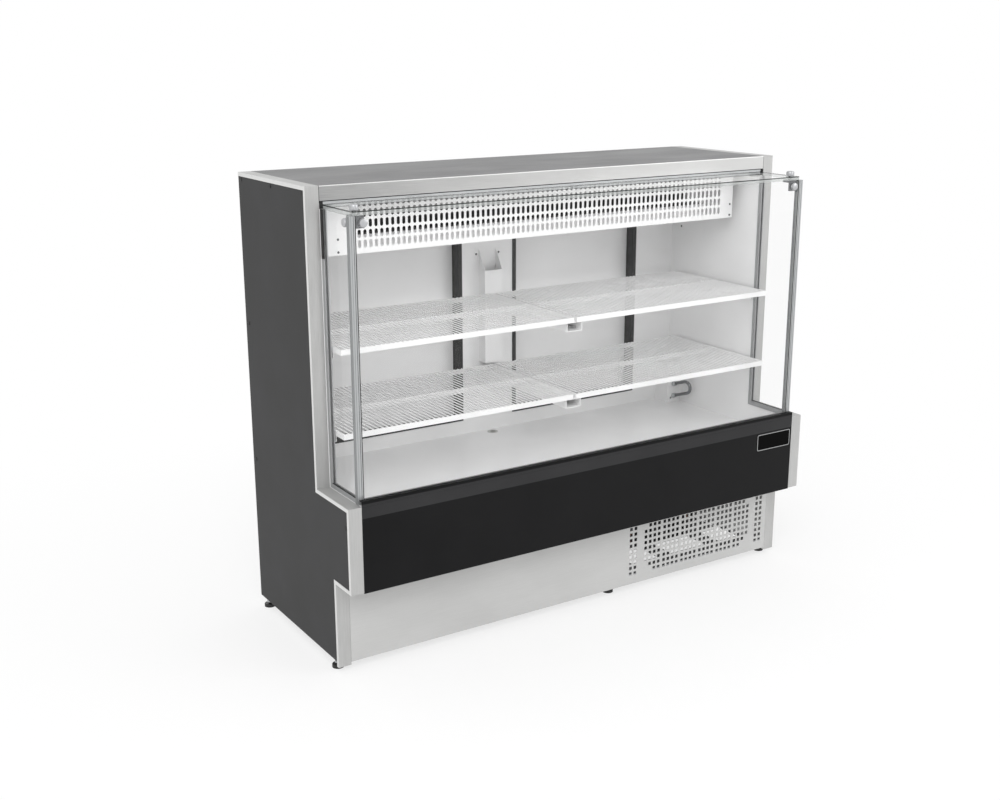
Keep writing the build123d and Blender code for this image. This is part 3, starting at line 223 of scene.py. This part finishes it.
def turned(mesh, outline, steps, place, axis, ring=False):
    """Spins an outline of (radius, height) points about the axis at that place."""
    before = set(mesh.verts)
    points = [mesh.verts.new((r, 0, h)) for r, h in outline]
    edges = [mesh.edges.new(pair) for pair in zip(points, points[1:])]
    if ring:
        edges.append(mesh.edges.new((points[-1], points[0])))
    bmesh.ops.spin(
        mesh, geom=points + edges, cent=(0, 0, 0), axis=(0, 0, 1), dvec=(0, 0, 0),
        angle=2 * pi, steps=steps, use_merge=True, use_normal_flip=False, use_duplicate=False,
    )
    new = [v for v in mesh.verts if v not in before]
    bmesh.ops.remove_doubles(mesh, verts=new, dist=0.000005)
    new = [v for v in mesh.verts if v not in before]
    swing = Vector(axis).to_track_quat("Z", "Y").to_matrix().to_4x4()
    bmesh.ops.transform(mesh, matrix=Matrix.Translation(place) @ swing, verts=new)
    return new


def rounded_block(mesh, low, high, edge, steps=2):
    """A block between two corners with every edge rounded."""
    made = bmesh.ops.create_cube(mesh, size=1.0)["verts"]
    size = [h - l for l, h in zip(low, high)]
    bmesh.ops.scale(mesh, vec=size, verts=made)
    bmesh.ops.translate(mesh, vec=[(l + h) / 2 for l, h in zip(low, high)], verts=made)
    edges = list({e for v in made for e in v.link_edges})
    bmesh.ops.bevel(
        mesh, geom=edges, offset=edge, offset_type="OFFSET", segments=steps, profile=0.5,
        affect="EDGES", clamp_overlap=True, material=-1,
    )


def fitted(name, mesh, finish, body="cabinet"):
    """Closes a mesh as a piece of the counter that rides on a body."""
    bmesh.ops.recalc_face_normals(mesh, faces=mesh.faces)
    for face in mesh.faces:
        face.smooth = True
    data = bpy.data.meshes.new(name)
    mesh.to_mesh(data)
    mesh.free()
    data.set_sharp_from_angle(angle=radians(35))
    data.materials.append(finish.material)
    piece = bpy.data.objects.new(name, data)
    bpy.context.scene.collection.objects.link(piece)
    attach(piece, body)
    return piece


def nut_outline(bore, radius, height, chamfer, drop):
    """Half the section of a nut with chamfered corners, from its bore round to its bore."""
    return [
        (bore, 0.0), (radius - chamfer, 0.0), (radius, drop),
        (radius, height - drop), (radius - chamfer, height), (bore, height),
    ]


side_foot = 0.732
middle_foot = 0.137
foot_rows = (-0.205, 0.238)
side_nut_height = 0.0125
middle_nut_height = 0.0255
foot_nut = nut_outline(0.0, 0.0092, 0.005, 0.001, 0.0008)
foot_nuts = bmesh.new()
for foot_x, nut_height in (
    (-side_foot, side_nut_height), (middle_foot, middle_nut_height), (side_foot, side_nut_height),
):
    for foot_y in foot_rows:
        turned(foot_nuts, foot_nut, 6, (foot_x, foot_y, nut_height), (0, 0, 1))
bolt_zinc = brushed("bright_zinc_bolts", "A5A7A9", "C3C5C7", "Z", 0.3, 0.85, size=0.0004)
fitted("foot_nuts", foot_nuts, bolt_zinc)

# Condensing unit: a black enamelled compressor, an aluminium condenser with its fan, and copper
# lines brazed between them, all bolted to the plate in the base tray.
enamel = painted("black_enamel", "191919", "262626", 0.25, 0.5, 0.0016, 0.00003)
enamel.coat("compressor", "condenser_fan_motor", "evaporator_fan_motors")
fin_metal = brushed("rolled_aluminium", "9FA1A3", "C2C4C6", "X", 0.35, 0.8)
fin_metal.coat("condenser_fan")
unit_coat = brushed("condenser_lacquer", "4A4C4E", "66686A", "Z", 0.4, 0.4)
unit_coat.coat("condenser")
copper = Finish("drawn_copper_tube", "B4704A", 0.3, 0.95)
stain = copper.grain(0.03, depth=5.0, rough=0.65)
copper.colour(copper.blend(copper.spread(stain, 0.0, 1.0, 0.35, 0.75), "C98258", "7D4A35"))
copper.rough(copper.spread(stain, 0.22, 0.5))
copper.dent(copper.grain(0.0008, depth=2.0), 0.00001)
copper.coat("refrigerant_tubes")

compressor_x = 0.612
compressor_y = 0.108
seam_height = 0.139
grommet_reach = 0.059
grommet_low = 0.0505
seam = bmesh.new()
band = [(0.0730, -0.004), (0.0762, -0.0028), (0.0766, 0.0), (0.0762, 0.0028), (0.0730, 0.004)]
turned(seam, band, 64, (compressor_x, compressor_y, seam_height), (0, 0, 1), ring=True)
grommet = [(0.004, 0.0), (0.0095, 0.0), (0.0095, 0.003), (0.0065, 0.005), (0.004, 0.005)]
for across in (-grommet_reach, grommet_reach):
    for back in (-grommet_reach, grommet_reach):
        place = (compressor_x + across, compressor_y + back, grommet_low)
        turned(seam, grommet, 20, place, (0, 0, 1), ring=True)
fitted("compressor_seam", seam, enamel)

cover_half = 0.026
cover_low = 0.112
cover_high = 0.170
cover_front = 0.172
cover_rear = 0.203
cover_flange = 0.006
flange_half = cover_half + cover_flange
flange_front = 0.178
flange_rear = 0.184
terminal_cover = bmesh.new()
rounded_block(
    terminal_cover, (compressor_x - cover_half, cover_front, cover_low),
    (compressor_x + cover_half, cover_rear, cover_high), 0.005, 3,
)
rounded_block(
    terminal_cover, (compressor_x - flange_half, flange_front, cover_low - cover_flange),
    (compressor_x + flange_half, flange_rear, cover_high + cover_flange), 0.002,
)
fitted("compressor_terminal_cover", terminal_cover, black_plastic)

clip_half = 0.0135
clip_wire = 0.0011
clip_round = 0.0009
clip_low = 0.104
clip_top = 0.172
clip_bar = 0.140
clip_root = 0.1785
clip_bend = 0.2048
clip_front = 0.2028
clip_rear = 0.2050
clip = bmesh.new()
for rail_x in (compressor_x - clip_half, compressor_x + clip_half):
    left = rail_x - clip_wire
    right = rail_x + clip_wire
    rounded_block(clip, (left, clip_root, clip_low), (right, clip_bend, clip_low + 2 * clip_wire), clip_round)
    rounded_block(clip, (left, clip_front, clip_low), (right, clip_rear, clip_top), clip_round)
rounded_block(
    clip, (compressor_x - clip_half - clip_wire, clip_front, clip_bar),
    (compressor_x + clip_half + clip_wire, clip_rear, clip_bar + 2 * clip_wire), clip_round,
)
fitted("terminal_cover_clip", clip, bolt_zinc)

condenser_middle = 0.455
condenser_left_end = 0.3495
condenser_right_end = 0.5605
bend_radius = 0.0125
bend_first = 0.0535
bend_pitch = 0.050
tube_rows = (-0.040, -0.016)
tube_radius = 0.004


def return_bend(mesh, start, centre, radius, steps=8):
    """A half turn of tube in the upright plane from the start round the centre."""
    made = bmesh.ops.create_circle(mesh, cap_ends=False, segments=10, radius=radius)["verts"]
    swing = Matrix.Rotation(pi / 2, 4, "Y")
    bmesh.ops.transform(mesh, matrix=Matrix.Translation(start) @ swing, verts=made)
    edges = list({e for v in made for e in v.link_edges})
    turn = pi if centre[0] < condenser_middle else -pi
    bmesh.ops.spin(
        mesh, geom=made + edges, cent=centre, axis=(0, 1, 0), dvec=(0, 0, 0),
        angle=turn, steps=steps, use_merge=False, use_normal_flip=False, use_duplicate=False,
    )


bends = bmesh.new()
for row_y in tube_rows:
    for count in range(4):
        low = bend_first + bend_pitch * count
        start = (condenser_left_end, row_y, low)
        return_bend(bends, start, (condenser_left_end, row_y, low + bend_radius), tube_radius)
        if count < 3:
            low += bend_pitch / 2
            start = (condenser_right_end, row_y, low)
            return_bend(bends, start, (condenser_right_end, row_y, low + bend_radius), tube_radius)
fitted("condenser_return_bends", bends, copper)

guard = bmesh.new()
guard_middle = (condenser_middle, 0.0365, 0.1455)
guard_radii = (0.042, 0.055, 0.068, 0.081, 0.094)
guard_wire = 0.0013
spoke_half = 0.0015
spoke_start = 0.040
spoke_end = 0.0985
spoke_low = 0.0005
spoke_high = 0.0035
leg_reach = 0.0182
for ring_radius in guard_radii:
    wire = [(ring_radius + guard_wire * cos(t * pi / 3), guard_wire * sin(t * pi / 3)) for t in range(6)]
    turned(guard, wire, 56, guard_middle, (0, 1, 0), ring=True)
for count in range(4):
    turn = Matrix.Translation(guard_middle) @ Matrix.Rotation(pi / 4 + count * pi / 2, 4, "Y")
    before = set(guard.verts)
    corner = (spoke_end, spoke_high, spoke_half)
    rounded_block(guard, (spoke_start, spoke_low, -spoke_half), corner, 0.0012)
    rounded_block(guard, (spoke_end - 2 * spoke_half, -leg_reach, -spoke_half), corner, 0.0012)
    spoke = [v for v in guard.verts if v not in before]
    bmesh.ops.transform(guard, matrix=turn, verts=spoke)
fitted("condenser_fan_guard", guard, bolt_zinc)

# Cabinet body: cream foam blown in between the liners and the outer sheets. The liners, the
# floor pan and the covers are white painted sheet, and the drain is white plastic.
foam = Finish("poured_foam", "CBC7BA", 0.9, 0.0, 0.2)
cells = foam.grain(0.004, depth=4.0)
foam.colour(foam.blend(foam.spread(cells, 0.0, 1.0), "BDB9AC", "D6D3C8"))
foam.dent(cells, 0.0008)
foam.rough(foam.spread(cells, 0.8, 0.95))
foam.coat("foam")

white_paint = painted("white_painted_sheet", "F9F9F9", "F2F2F2", 0.35, 0.4)
white_paint.coat(
    "side_liners", "ceiling_liner", "back_liner", "floor_pan", "wall_cover", "service_box",
    "duct_cover", "shelf_arms", "evaporator_tray",
)
coil_coat = painted("black_coated_fins", "17181A", "222326", 0.4, 0.3, 0.0008, 0.00002)
coil_coat.coat("evaporator_coil")
white_plastic = moulded("white_moulded_plastic", "C9C9C7", "BDBDBA", 0.45)
white_plastic.coat("floor_drain")

# Screws of the liners, the duct cover and the boxes: domed heads with a hexagon socket, which
# look like dark dots from in front. The back sheet is held by a row of them along each edge.
screw_steel = brushed("darkened_screw_steel", "3F4143", "5A5C5E", "Z", 0.35, 0.7, size=0.0004)


def screw_head(mesh, place, out, stem=0.0012):
    """A domed head on the face at that place, with its shank through the sheet."""
    dome = [(0.0, -stem), (0.0019, -stem), (0.0019, 0.0), (0.0029, 0.0), (0.0031, 0.0003)]
    dome += [(0.0028, 0.0010), (0.0022, 0.0015), (0.0015, 0.0016), (0.0013, 0.0008), (0.0, 0.0007)]
    turned(mesh, dome, 18, place, out)


duct_shift = 0.016
duct_screw_reach = 0.646
duct_screw_heights = (1.048, 1.080)
duct_front = -0.079
cover_screw = (0.039, 0.2308, 0.9495)
liner_face = 0.705
liner_screw_y = 0.187
liner_screw_heights = (0.582, 0.980)
service_screw = (0.668, 0.168, 0.4205)
heads = bmesh.new()
for side in (-1, 1):
    for level in duct_screw_heights:
        screw_head(heads, (duct_shift + side * duct_screw_reach, duct_front, level), (0, -1, 0))
    screw_head(heads, (side * cover_screw[0], *cover_screw[1:]), (0, -1, 0))
    for level in liner_screw_heights:
        screw_head(heads, (side * liner_face, liner_screw_y, level), (-side, 0, 0), 0.001)
screw_head(heads, service_screw, (0, -1, 0))
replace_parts(fitted("liner_screws", heads, screw_steel), "screws")

back_face = 0.258
back_stem = 0.0015
edge_screw_x = 0.705
edge_screw_first = 0.374
edge_screw_pitch = 0.166
row_screw_first = 0.070
row_screw_pitch = 0.170
row_screw_heights = (0.356, 1.213)
back_heads = bmesh.new()
for side in (-1, 1):
    for count in range(6):
        level = edge_screw_first + count * edge_screw_pitch
        screw_head(back_heads, (side * edge_screw_x, back_face, level), (0, 1, 0), back_stem)
    for count in range(4):
        row_x = side * (row_screw_first + count * row_screw_pitch)
        for level in row_screw_heights:
            screw_head(back_heads, (row_x, back_face, level), (0, 1, 0), back_stem)
fitted("back_sheet_screws", back_heads, bolt_zinc)

# Rear doors: stainless sheet trays with white liners, black magnetic gaskets and chromed handles,
# hung on steel brackets. The openings in the back wall are framed with black plastic.
door_steel = brushed("door_satin_steel", "A6A7A8", "C6C7C8", "Z", 0.36, 0.85)
polished = brushed("polished_steel", "B8B9BB", "D4D5D7", "Z", 0.16, 0.95, size=0.0004)
rubber = moulded("black_rubber", "1B1B1B", "272727", 0.7, 0.3, 0.0008)
for end in ("left", "right"):
    door_steel.coat(f"door_panel_{end}")
    white_paint.coat(f"door_liner_{end}")
    rubber.coat(f"door_gasket_{end}")
    polished.coat(f"door_handle_{end}")
bolt_zinc.coat("hinge_brackets")
black_plastic.coat("door_breakers")

# Service tube: a plated tube that loops out of the box in the corner through two hexagon nuts.
loop_metal = brushed("plated_tube", "6E7072", "8C8E90", "Z", 0.25, 0.8, size=0.0005)
loop_metal.coat("service_loop")
loop_x = 0.677
loop_front = 0.1665
leg_heights = (0.42702, 0.46698)
loop_rise = radians(18.0)
loop_turn = radians(9.0)
loop_out = (sin(loop_turn) * cos(loop_rise), -cos(loop_turn) * cos(loop_rise), sin(loop_rise))
loop_nut = nut_outline(0.0052, 0.0086, 0.0055, 0.0008, 0.0007)
collar = [(0.0051, 0.0055), (0.0068, 0.0055), (0.0064, 0.0125), (0.0051, 0.0125)]
loop_nuts = bmesh.new()
for leg_height in leg_heights:
    leg = (loop_x, loop_front, leg_height)
    turned(loop_nuts, loop_nut, 6, leg, loop_out, ring=True)
    turned(loop_nuts, collar, 24, leg, loop_out, ring=True)
fitted("service_tube_nuts", loop_nuts, bolt_zinc)

# Wire shelves: welded wire, coated white, lying on the folded arms.
wire_coat = painted("white_coated_wire", "F8F8F8", "F0F0F0", 0.3, 0.5, 0.0009, 0.00002)
for level in ("lower", "upper"):
    for end in ("left", "right"):
        wire_coat.coat(f"shelf_{level}_{end}")

# Glass: toughened clear panes with grey-green ground edges, a painted dark line along the top of the
# edges as painted shade, and a trace of wiping marks on the faces.
painted_line_start = 1.1770
painted_line_end = 1.1774


def pane(name, axis, gloss):
    """Clear glass that reflects on its faces along one axis, with grey ground edges and a painted dark line
    along their top as painted shade.
    """
    finish = Finish(name, "FFFFFF", 0.03, 0.0, 0.5)
    tree = finish.tree
    smears = finish.grain(0.05, (1.0, 1.0, 2.5), 5.0, 0.6)
    finish.rough(finish.spread(smears, 0.01, 0.06, 0.35, 0.75))
    finish.shader.inputs["Metallic"].default_value = 1.0
    clear = tree.nodes.new("ShaderNodeBsdfTransparent")
    clear.inputs["Color"].default_value = tone("FEFEFE")
    mirror = tree.nodes.new("ShaderNodeFresnel")
    mirror.inputs["IOR"].default_value = 1.45
    face = tree.nodes.new("ShaderNodeMixShader")
    side = tree.nodes.new("ShaderNodeNewGeometry")
    outer = finish.sum(1.0, side.outputs["Backfacing"], "SUBTRACT")
    sheen = finish.sum(mirror.outputs[0], gloss, "MULTIPLY")
    sheen = finish.sum(sheen, finish.spread(smears, 0.0, 0.01, 0.4, 0.8))
    finish.join(finish.sum(sheen, outer, "MULTIPLY"), face.inputs[0])
    finish.join(clear.outputs[0], face.inputs[1])
    finish.join(finish.shader.outputs[0], face.inputs[2])
    deep = tree.nodes.new("ShaderNodeBsdfPrincipled")
    deep.inputs["Roughness"].default_value = 0.25
    chips = finish.spread(finish.grain(0.002), 0.0, 1.0)
    band = finish.blend(chips, "B9BCBB", "D3D5D4")
    # Painted shade: a dark, less clear line along the top of the ground edges.
    rim = finish.along("Z", painted_line_start, painted_line_end)
    finish.join(finish.blend(rim, band, "1E2322"), deep.inputs["Base Color"])
    through = tree.nodes.new("ShaderNodeBsdfTransparent")
    through.inputs["Color"].default_value = tone("EDEFEE")
    ground = tree.nodes.new("ShaderNodeMixShader")
    finish.join(finish.spread(rim, 0.5, 0.95, 0.0, 1.0), ground.inputs[0])
    finish.join(through.outputs[0], ground.inputs[1])
    finish.join(deep.outputs[0], ground.inputs[2])
    whole = tree.nodes.new("ShaderNodeMixShader")
    finish.join(finish.facing(axis), whole.inputs[0])
    finish.join(ground.outputs[0], whole.inputs[1])
    finish.join(face.outputs[0], whole.inputs[2])
    finish.join(whole.outputs[0], tree.nodes["Material Output"].inputs["Surface"])
    return finish


pane("front_pane", "Y", 0.45).coat("front_glass")
pane("side_panes", "X", 0.45).coat("side_glass")
pane("top_pane", "Z", 0.7).coat("top_glass")

# Posts, channels and clamps: anodised aluminium profiles that hold the panes at the edges, with
# grey plastic clamps, and metal discs and knobs, at the two front corners. The posts' faces that look
# along X are painted darker as painted shade, and the upper outer part of the left channel is painted black
# as painted shade.
anodised = brushed("anodised_profile", "A6A8A9", "BCBEBF", "Z", 0.38, 0.5)
post_tone = anodised.shader.inputs["Base Color"].links[0].from_socket
# Painted shade: the faces that look along X are painted darker than the front faces of the same profile.
anodised.colour(anodised.blend(anodised.facing("X"), post_tone, "8E9091"))
anodised.coat("corner_posts")
rail_metal = brushed("anodised_channel", "9C9D9E", "AEAFB0", "X", 0.4, 0.4)
rail_tone = rail_metal.shader.inputs["Base Color"].links[0].from_socket
# Painted shade: the upper outer part of the left channel is painted black.
upper = rail_metal.along("Z", 1.0510, 1.0516)
outer_left = rail_metal.along("X", -0.7062, -0.7066)
painted_shade_strip = rail_metal.sum(upper, outer_left, "MINIMUM")
rail_metal.colour(rail_metal.blend(painted_shade_strip, rail_tone, "1C1A1A"))
rail_metal.coat("glass_channels")
grey_plastic = moulded("grey_cast_clamp", "808183", "747577", 0.4)
grey_plastic.coat("corner_clamps")
knob_metal = brushed("satin_turned_metal", "A9AAAC", "C0C1C3", "Z", 0.3, 0.6, size=0.0004)
knobs = bmesh.new()
grip = [(0.0, -0.0165), (0.004, -0.0165), (0.004, 0.0), (0.0101, 0.0), (0.0110, 0.0009)]
grip += [(0.0110, 0.0105), (0.0098, 0.0128), (0.0086, 0.0134), (0.0080, 0.0128), (0.0, 0.0125)]
button = [(0.0, -0.0125), (0.004, -0.0125), (0.004, 0.0), (0.0099, 0.0), (0.0105, 0.0006)]
button += [(0.0105, 0.0052), (0.0096, 0.0069), (0.0078, 0.0077), (0.0, 0.0080)]
knob_x = 0.690
knob_y = -0.294
glass_top = 1.180
flute_count = 24
flute_start = 0.0106
flute_shrink = 0.95
disc_height = 1.153
front_disc = (0.681, -0.319)
side_disc = (0.710, -0.292)
for side in (-1, 1):
    place = Vector((side * knob_x, knob_y, glass_top))
    made = turned(knobs, grip, 48, place, (0, 0, 1))
    for vert in made:
        arm = vert.co - place
        flute = round(flute_count * (arm.to_2d().angle_signed(Vector((1, 0)), 0.0) / pi)) % 2
        if arm.to_2d().length > flute_start and flute:
            shrink = (flute_shrink, flute_shrink, 1.0)
            bmesh.ops.scale(knobs, vec=shrink, verts=[vert], space=Matrix.Translation(-place))
    turned(knobs, button, 40, (side * front_disc[0], front_disc[1], disc_height), (0, -1, 0))
    turned(knobs, button, 40, (side * side_disc[0], side_disc[1], disc_height), (side, 0, 0))
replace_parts(fitted("corner_knobs", knobs, knob_metal), "clamp_knobs")

# Glass seals: black rubber strips pressed between the panes and the posts, into the inner groove
# of the posts, along the lips of the channels and under the fascia, where a block closes each end.
pane_bottom = 0.474
pane_top = 1.1697
ledge_lip = 0.4842
seals = bmesh.new()
for side in (-1, 1):
    strips = (
        ((0.6990, -0.3206, pane_bottom), (0.7010, -0.3190, pane_top)),
        ((0.7108, -0.3052, ledge_lip), (0.7128, -0.3036, pane_top)),
        ((0.7014, -0.3042, ledge_lip), (0.7036, -0.3032, 1.1390)),
        ((0.7101, -0.1565, ledge_lip), (0.7122, -0.1550, pane_top)),
        ((0.7101, -0.3040, 0.4838), (0.7122, -0.1555, 0.4852)),
        ((0.7042, -0.3203, pane_bottom), (0.7054, -0.3188, pane_top)),
    )
    for low, high in strips:
        if side < 0:
            low, high = (-high[0], low[1], low[2]), (-low[0], high[1], high[2])
        rounded_block(seals, low, high, 0.0004, 1)
fascia_half = 0.7142
trim_top = 1.1868
rounded_block(seals, (-fascia_half, -0.1584, trim_top), (fascia_half, -0.1579, 1.1889), 0.0002, 1)
for low_x, high_x in ((-fascia_half, -0.7047), (0.7047, fascia_half)):
    rounded_block(seals, (low_x, -0.1602, 1.1702), (high_x, -0.1470, 1.1886), 0.0005, 1)
fitted("glass_seals", seals, rubber)

# Fascia trim: a thin anodised strip that closes the gap between the fascia and the top pane.
trim = bmesh.new()
rounded_block(trim, (-fascia_half, -0.1583, 1.1808), (fascia_half, -0.1577, trim_top), 0.0002, 1)
fitted("fascia_trim", trim, anodised)

# Front panel, rail and badge: black coated sheet folded round the front, with a rail along its
# top edge, and a bare plate with a thin border where a label would sit.
panel_coat = painted("black_coated_panel", "121213", "161617", 0.45, 0.12)
panel_coat.coat("front_panel")
plate_coat = painted("bare_badge_plate", "030303", "050505", 0.5, 0.04)
plate_tone = plate_coat.shader.inputs["Base Color"].links[0].from_socket
raised = plate_coat.along("Y", -0.33575, -0.33585)
plate_coat.colour(plate_coat.blend(raised, plate_tone, "9FA0A0"))
plate_coat.coat("badge_plate")
rail_coat = painted("black_coated_rail", "2E2E2F", "333334", 0.45, 0.12)
band_tone = rail_coat.shader.inputs["Base Color"].links[0].from_socket
rail_coat.colour(rail_coat.blend(rail_coat.along("Z", 0.4775, 0.4785), band_tone, "0E0E0F"))
rail_coat.coat("front_rail")

# Control plate: a white scale ring with raised marks round the thermostat knob, and a black
# bezel round the rocker switch. Both lie level with the end of the knob's shaft, 12 mm off the plate.
shaft_end_y = 0.250
dial_middle = (0.068, shaft_end_y, 0.294)
dial_outline = [(0.0180, 0.0), (0.0250, 0.0), (0.0246, 0.0008), (0.0184, 0.0008)]
mark_count = 11
mark_start = -150
mark_step = 30
mark_half = 0.0004
mark_inner = 0.0195
mark_outer = 0.0236
dial = bmesh.new()
turned(dial, dial_outline, 48, dial_middle, (0, 1, 0), ring=True)
fitted("scale_ring", dial, white_plastic)
marks = bmesh.new()
for count in range(mark_count):
    before = set(marks.verts)
    tip = (mark_half, 0.0012, mark_outer)
    rounded_block(marks, (-mark_half, 0.0007, mark_inner), tip, 0.0002, 1)
    swing = Matrix.Rotation(radians(mark_start + mark_step * count), 4, "Y")
    turn = Matrix.Translation(dial_middle) @ swing
    bmesh.ops.transform(marks, matrix=turn, verts=[v for v in marks.verts if v not in before])
fitted("scale_marks", marks, rubber)
bezel_left, bezel_right = 0.1360, 0.1640
bezel_low, bezel_high = 0.2775, 0.3105
bezel_side, bezel_bar = 0.0033, 0.0032
bezel_front = 0.2522
bezel = bmesh.new()
for (left, low), (right, high) in (
    ((bezel_left, bezel_low), (bezel_left + bezel_side, bezel_high)),
    ((bezel_right - bezel_side, bezel_low), (bezel_right, bezel_high)),
    ((bezel_left, bezel_low), (bezel_right, bezel_low + bezel_bar)),
    ((bezel_left, bezel_high - bezel_bar), (bezel_right, bezel_high)),
):
    rounded_block(bezel, (left, shaft_end_y, low), (right, bezel_front, high), 0.0006)
fitted("switch_bezel", bezel, black_plastic)

# Side sheets: dark grey powder-coated sheet set into the side frames.
side_coat = painted("dark_powder_coat", "333334", "393939", 0.6, 0.25, 0.0009, 0.00003)
side_coat.coat("side_sheets")
cap_plastic = moulded("black_screw_caps", "080808", "0D0D0D", 0.5, 0.3)
cap_plastic.coat("screw_caps")

# Worktop: one stainless sheet, brushed along its length and folded down at the front as a fascia.
# The top is painted darker than the fascia as painted shade, the fascia is painted lighter towards the right
# as painted light with a painted highlight along its top edge, and a painted shadow runs along the joint with
# each side frame.
top_steel = Finish("worktop_brushed_steel", "9A9A9B", 0.36, 0.85)
top_lines = top_steel.grain(0.0007, (120.0, 1.0, 1.0), 4.0, 0.7)
top_clouds = top_steel.grain(0.12, (2.5, 1.0, 1.0), 3.0)
top_mix = top_steel.sum(top_steel.spread(top_lines, 0.0, 0.6), top_steel.spread(top_clouds, 0.0, 0.4))
# Painted shade: the top faces get a darker tone than the fascia of the same sheet.
painted_shade_top_tone = top_steel.blend(top_mix, "555556", "717172")
painted_light_fascia_tone = top_steel.blend(top_mix, "939393", "BFBFBE")
# Painted light: the fascia gets lighter towards the right.
painted_light_fascia_tone = top_steel.blend(top_steel.along("X", -0.7, 0.5), painted_light_fascia_tone, "C6C6C5")
# Painted highlight: a light line along the fascia's top edge.
painted_highlight_band = top_steel.along("Z", 1.2226, 1.2232)
painted_light_fascia_tone = top_steel.blend(painted_highlight_band, painted_light_fascia_tone, "F0F0EF")
# Painted shadow: a dark line on the sheet at the joint with each side frame.
joint_shadow_start, joint_shadow_end = 0.7130, 0.7134
right_joint_shadow = top_steel.along("X", joint_shadow_start, joint_shadow_end)
left_joint_shadow = top_steel.along("X", -joint_shadow_start, -joint_shadow_end)
painted_joint_shadow = top_steel.sum(right_joint_shadow, left_joint_shadow, "MAXIMUM")
painted_light_sheet_tone = top_steel.blend(top_steel.facing("Y"), painted_shade_top_tone, painted_light_fascia_tone)
top_steel.colour(top_steel.blend(painted_joint_shadow, painted_light_sheet_tone, "2C2C2C"))
top_steel.rough(top_steel.spread(top_mix, 0.46, 0.34, 0.0, 1.0))
top_steel.dent(top_lines, 0.00002)
top_steel.coat("worktop")

# Studio: a white floor, even light from the room, a large soft lamp high at the front left, a
# weaker one at the right and a small low one behind, and the camera above the worktop's height.
floor_mesh = bmesh.new()
bmesh.ops.create_grid(floor_mesh, x_segments=1, y_segments=1, size=9.0)
floor_data = bpy.data.meshes.new("studio_floor")
floor_mesh.to_mesh(floor_data)
floor_mesh.free()
floor = bpy.data.objects.new("studio_floor", floor_data)
bpy.context.scene.collection.objects.link(floor)
floor_finish = Finish("studio_floor", "FFFFFF", 0.9, 0.0, 0.0)
floor.data.materials.append(floor_finish.material)
reach = floor_finish.tree.nodes.new("ShaderNodeVectorMath")
reach.operation = "LENGTH"
floor_finish.join(floor_finish.place.outputs["Object"], reach.inputs[0])
paths = floor_finish.tree.nodes.new("ShaderNodeLightPath")
looked_at = floor_finish.sum(paths.outputs["Is Camera Ray"], paths.outputs["Is Glossy Ray"], "MAXIMUM")
looked_at = floor_finish.sum(looked_at, paths.outputs["Is Transmission Ray"], "MAXIMUM")
far = floor_finish.spread(reach.outputs["Value"], 0.68, 1.0, 0.9, 2.2)
glow = floor_finish.tree.nodes.new("ShaderNodeEmission")
ground = floor_finish.tree.nodes.new("ShaderNodeMixShader")
floor_finish.join(floor_finish.sum(far, looked_at, "MULTIPLY"), ground.inputs[0])
floor_finish.join(floor_finish.shader.outputs[0], ground.inputs[1])
floor_finish.join(glow.outputs[0], ground.inputs[2])
floor_finish.join(ground.outputs[0], floor_finish.tree.nodes["Material Output"].inputs["Surface"])

world = bpy.data.worlds.new("studio_room")
bpy.context.scene.world = world
world.use_nodes = True
room = world.node_tree
seen = room.nodes.new("ShaderNodeLightPath")
ray = seen.outputs["Is Camera Ray"]
for other in ("Is Glossy Ray", "Is Transmission Ray"):
    either = room.nodes.new("ShaderNodeMath")
    either.operation = "MAXIMUM"
    room.links.new(ray, either.inputs[0])
    room.links.new(seen.outputs[other], either.inputs[1])
    ray = either.outputs[0]
level = room.nodes.new("ShaderNodeMapRange")
level.inputs["To Min"].default_value = 0.8
level.inputs["To Max"].default_value = 1.0
room.links.new(ray, level.inputs["Value"])
room.links.new(level.outputs["Result"], room.nodes["Background"].inputs["Strength"])
room.nodes["Background"].inputs["Color"].default_value = (1, 1, 1, 1)

for name, place, aim, size, power in (
    ("front_left_lamp", (-2.6, -3.4, 3.6), (0.0, 0.0, 0.6), 2.6, 82.0),
    ("front_right_lamp", (3.0, -3.2, 2.4), (0.0, 0.0, 0.6), 2.2, 38.0),
    ("rear_lamp", (0.4, 3.6, 0.7), (0.0, 0.0, 0.6), 1.0, 19.0),
):
    light = bpy.data.lights.new(name, "AREA")
    light.size = size
    light.energy = power
    lamp = bpy.data.objects.new(name, light)
    bpy.context.scene.collection.objects.link(lamp)
    lamp.location = place
    lamp.rotation_euler = (Vector(aim) - Vector(place)).to_track_quat("-Z", "Y").to_euler()

lens = bpy.data.cameras.new("photo_camera")
lens.sensor_width = 36.0
lens.lens = 46.77
camera = bpy.data.objects.new("photo_camera", lens)
bpy.context.scene.collection.objects.link(camera)
camera_place = (-2.0187, -2.9949, 1.5624)
camera_heading = -32.589
camera_dip = 15.608
camera_roll = -0.105
camera.matrix_world = (
    Matrix.Translation(camera_place)
    @ Matrix.Rotation(radians(camera_heading), 4, "Z")
    @ Matrix.Rotation(radians(90 - camera_dip), 4, "X")
    @ Matrix.Rotation(radians(camera_roll), 4, "Z")
)
bpy.context.scene.camera = camera
bpy.context.scene.view_settings.view_transform = "Standard"
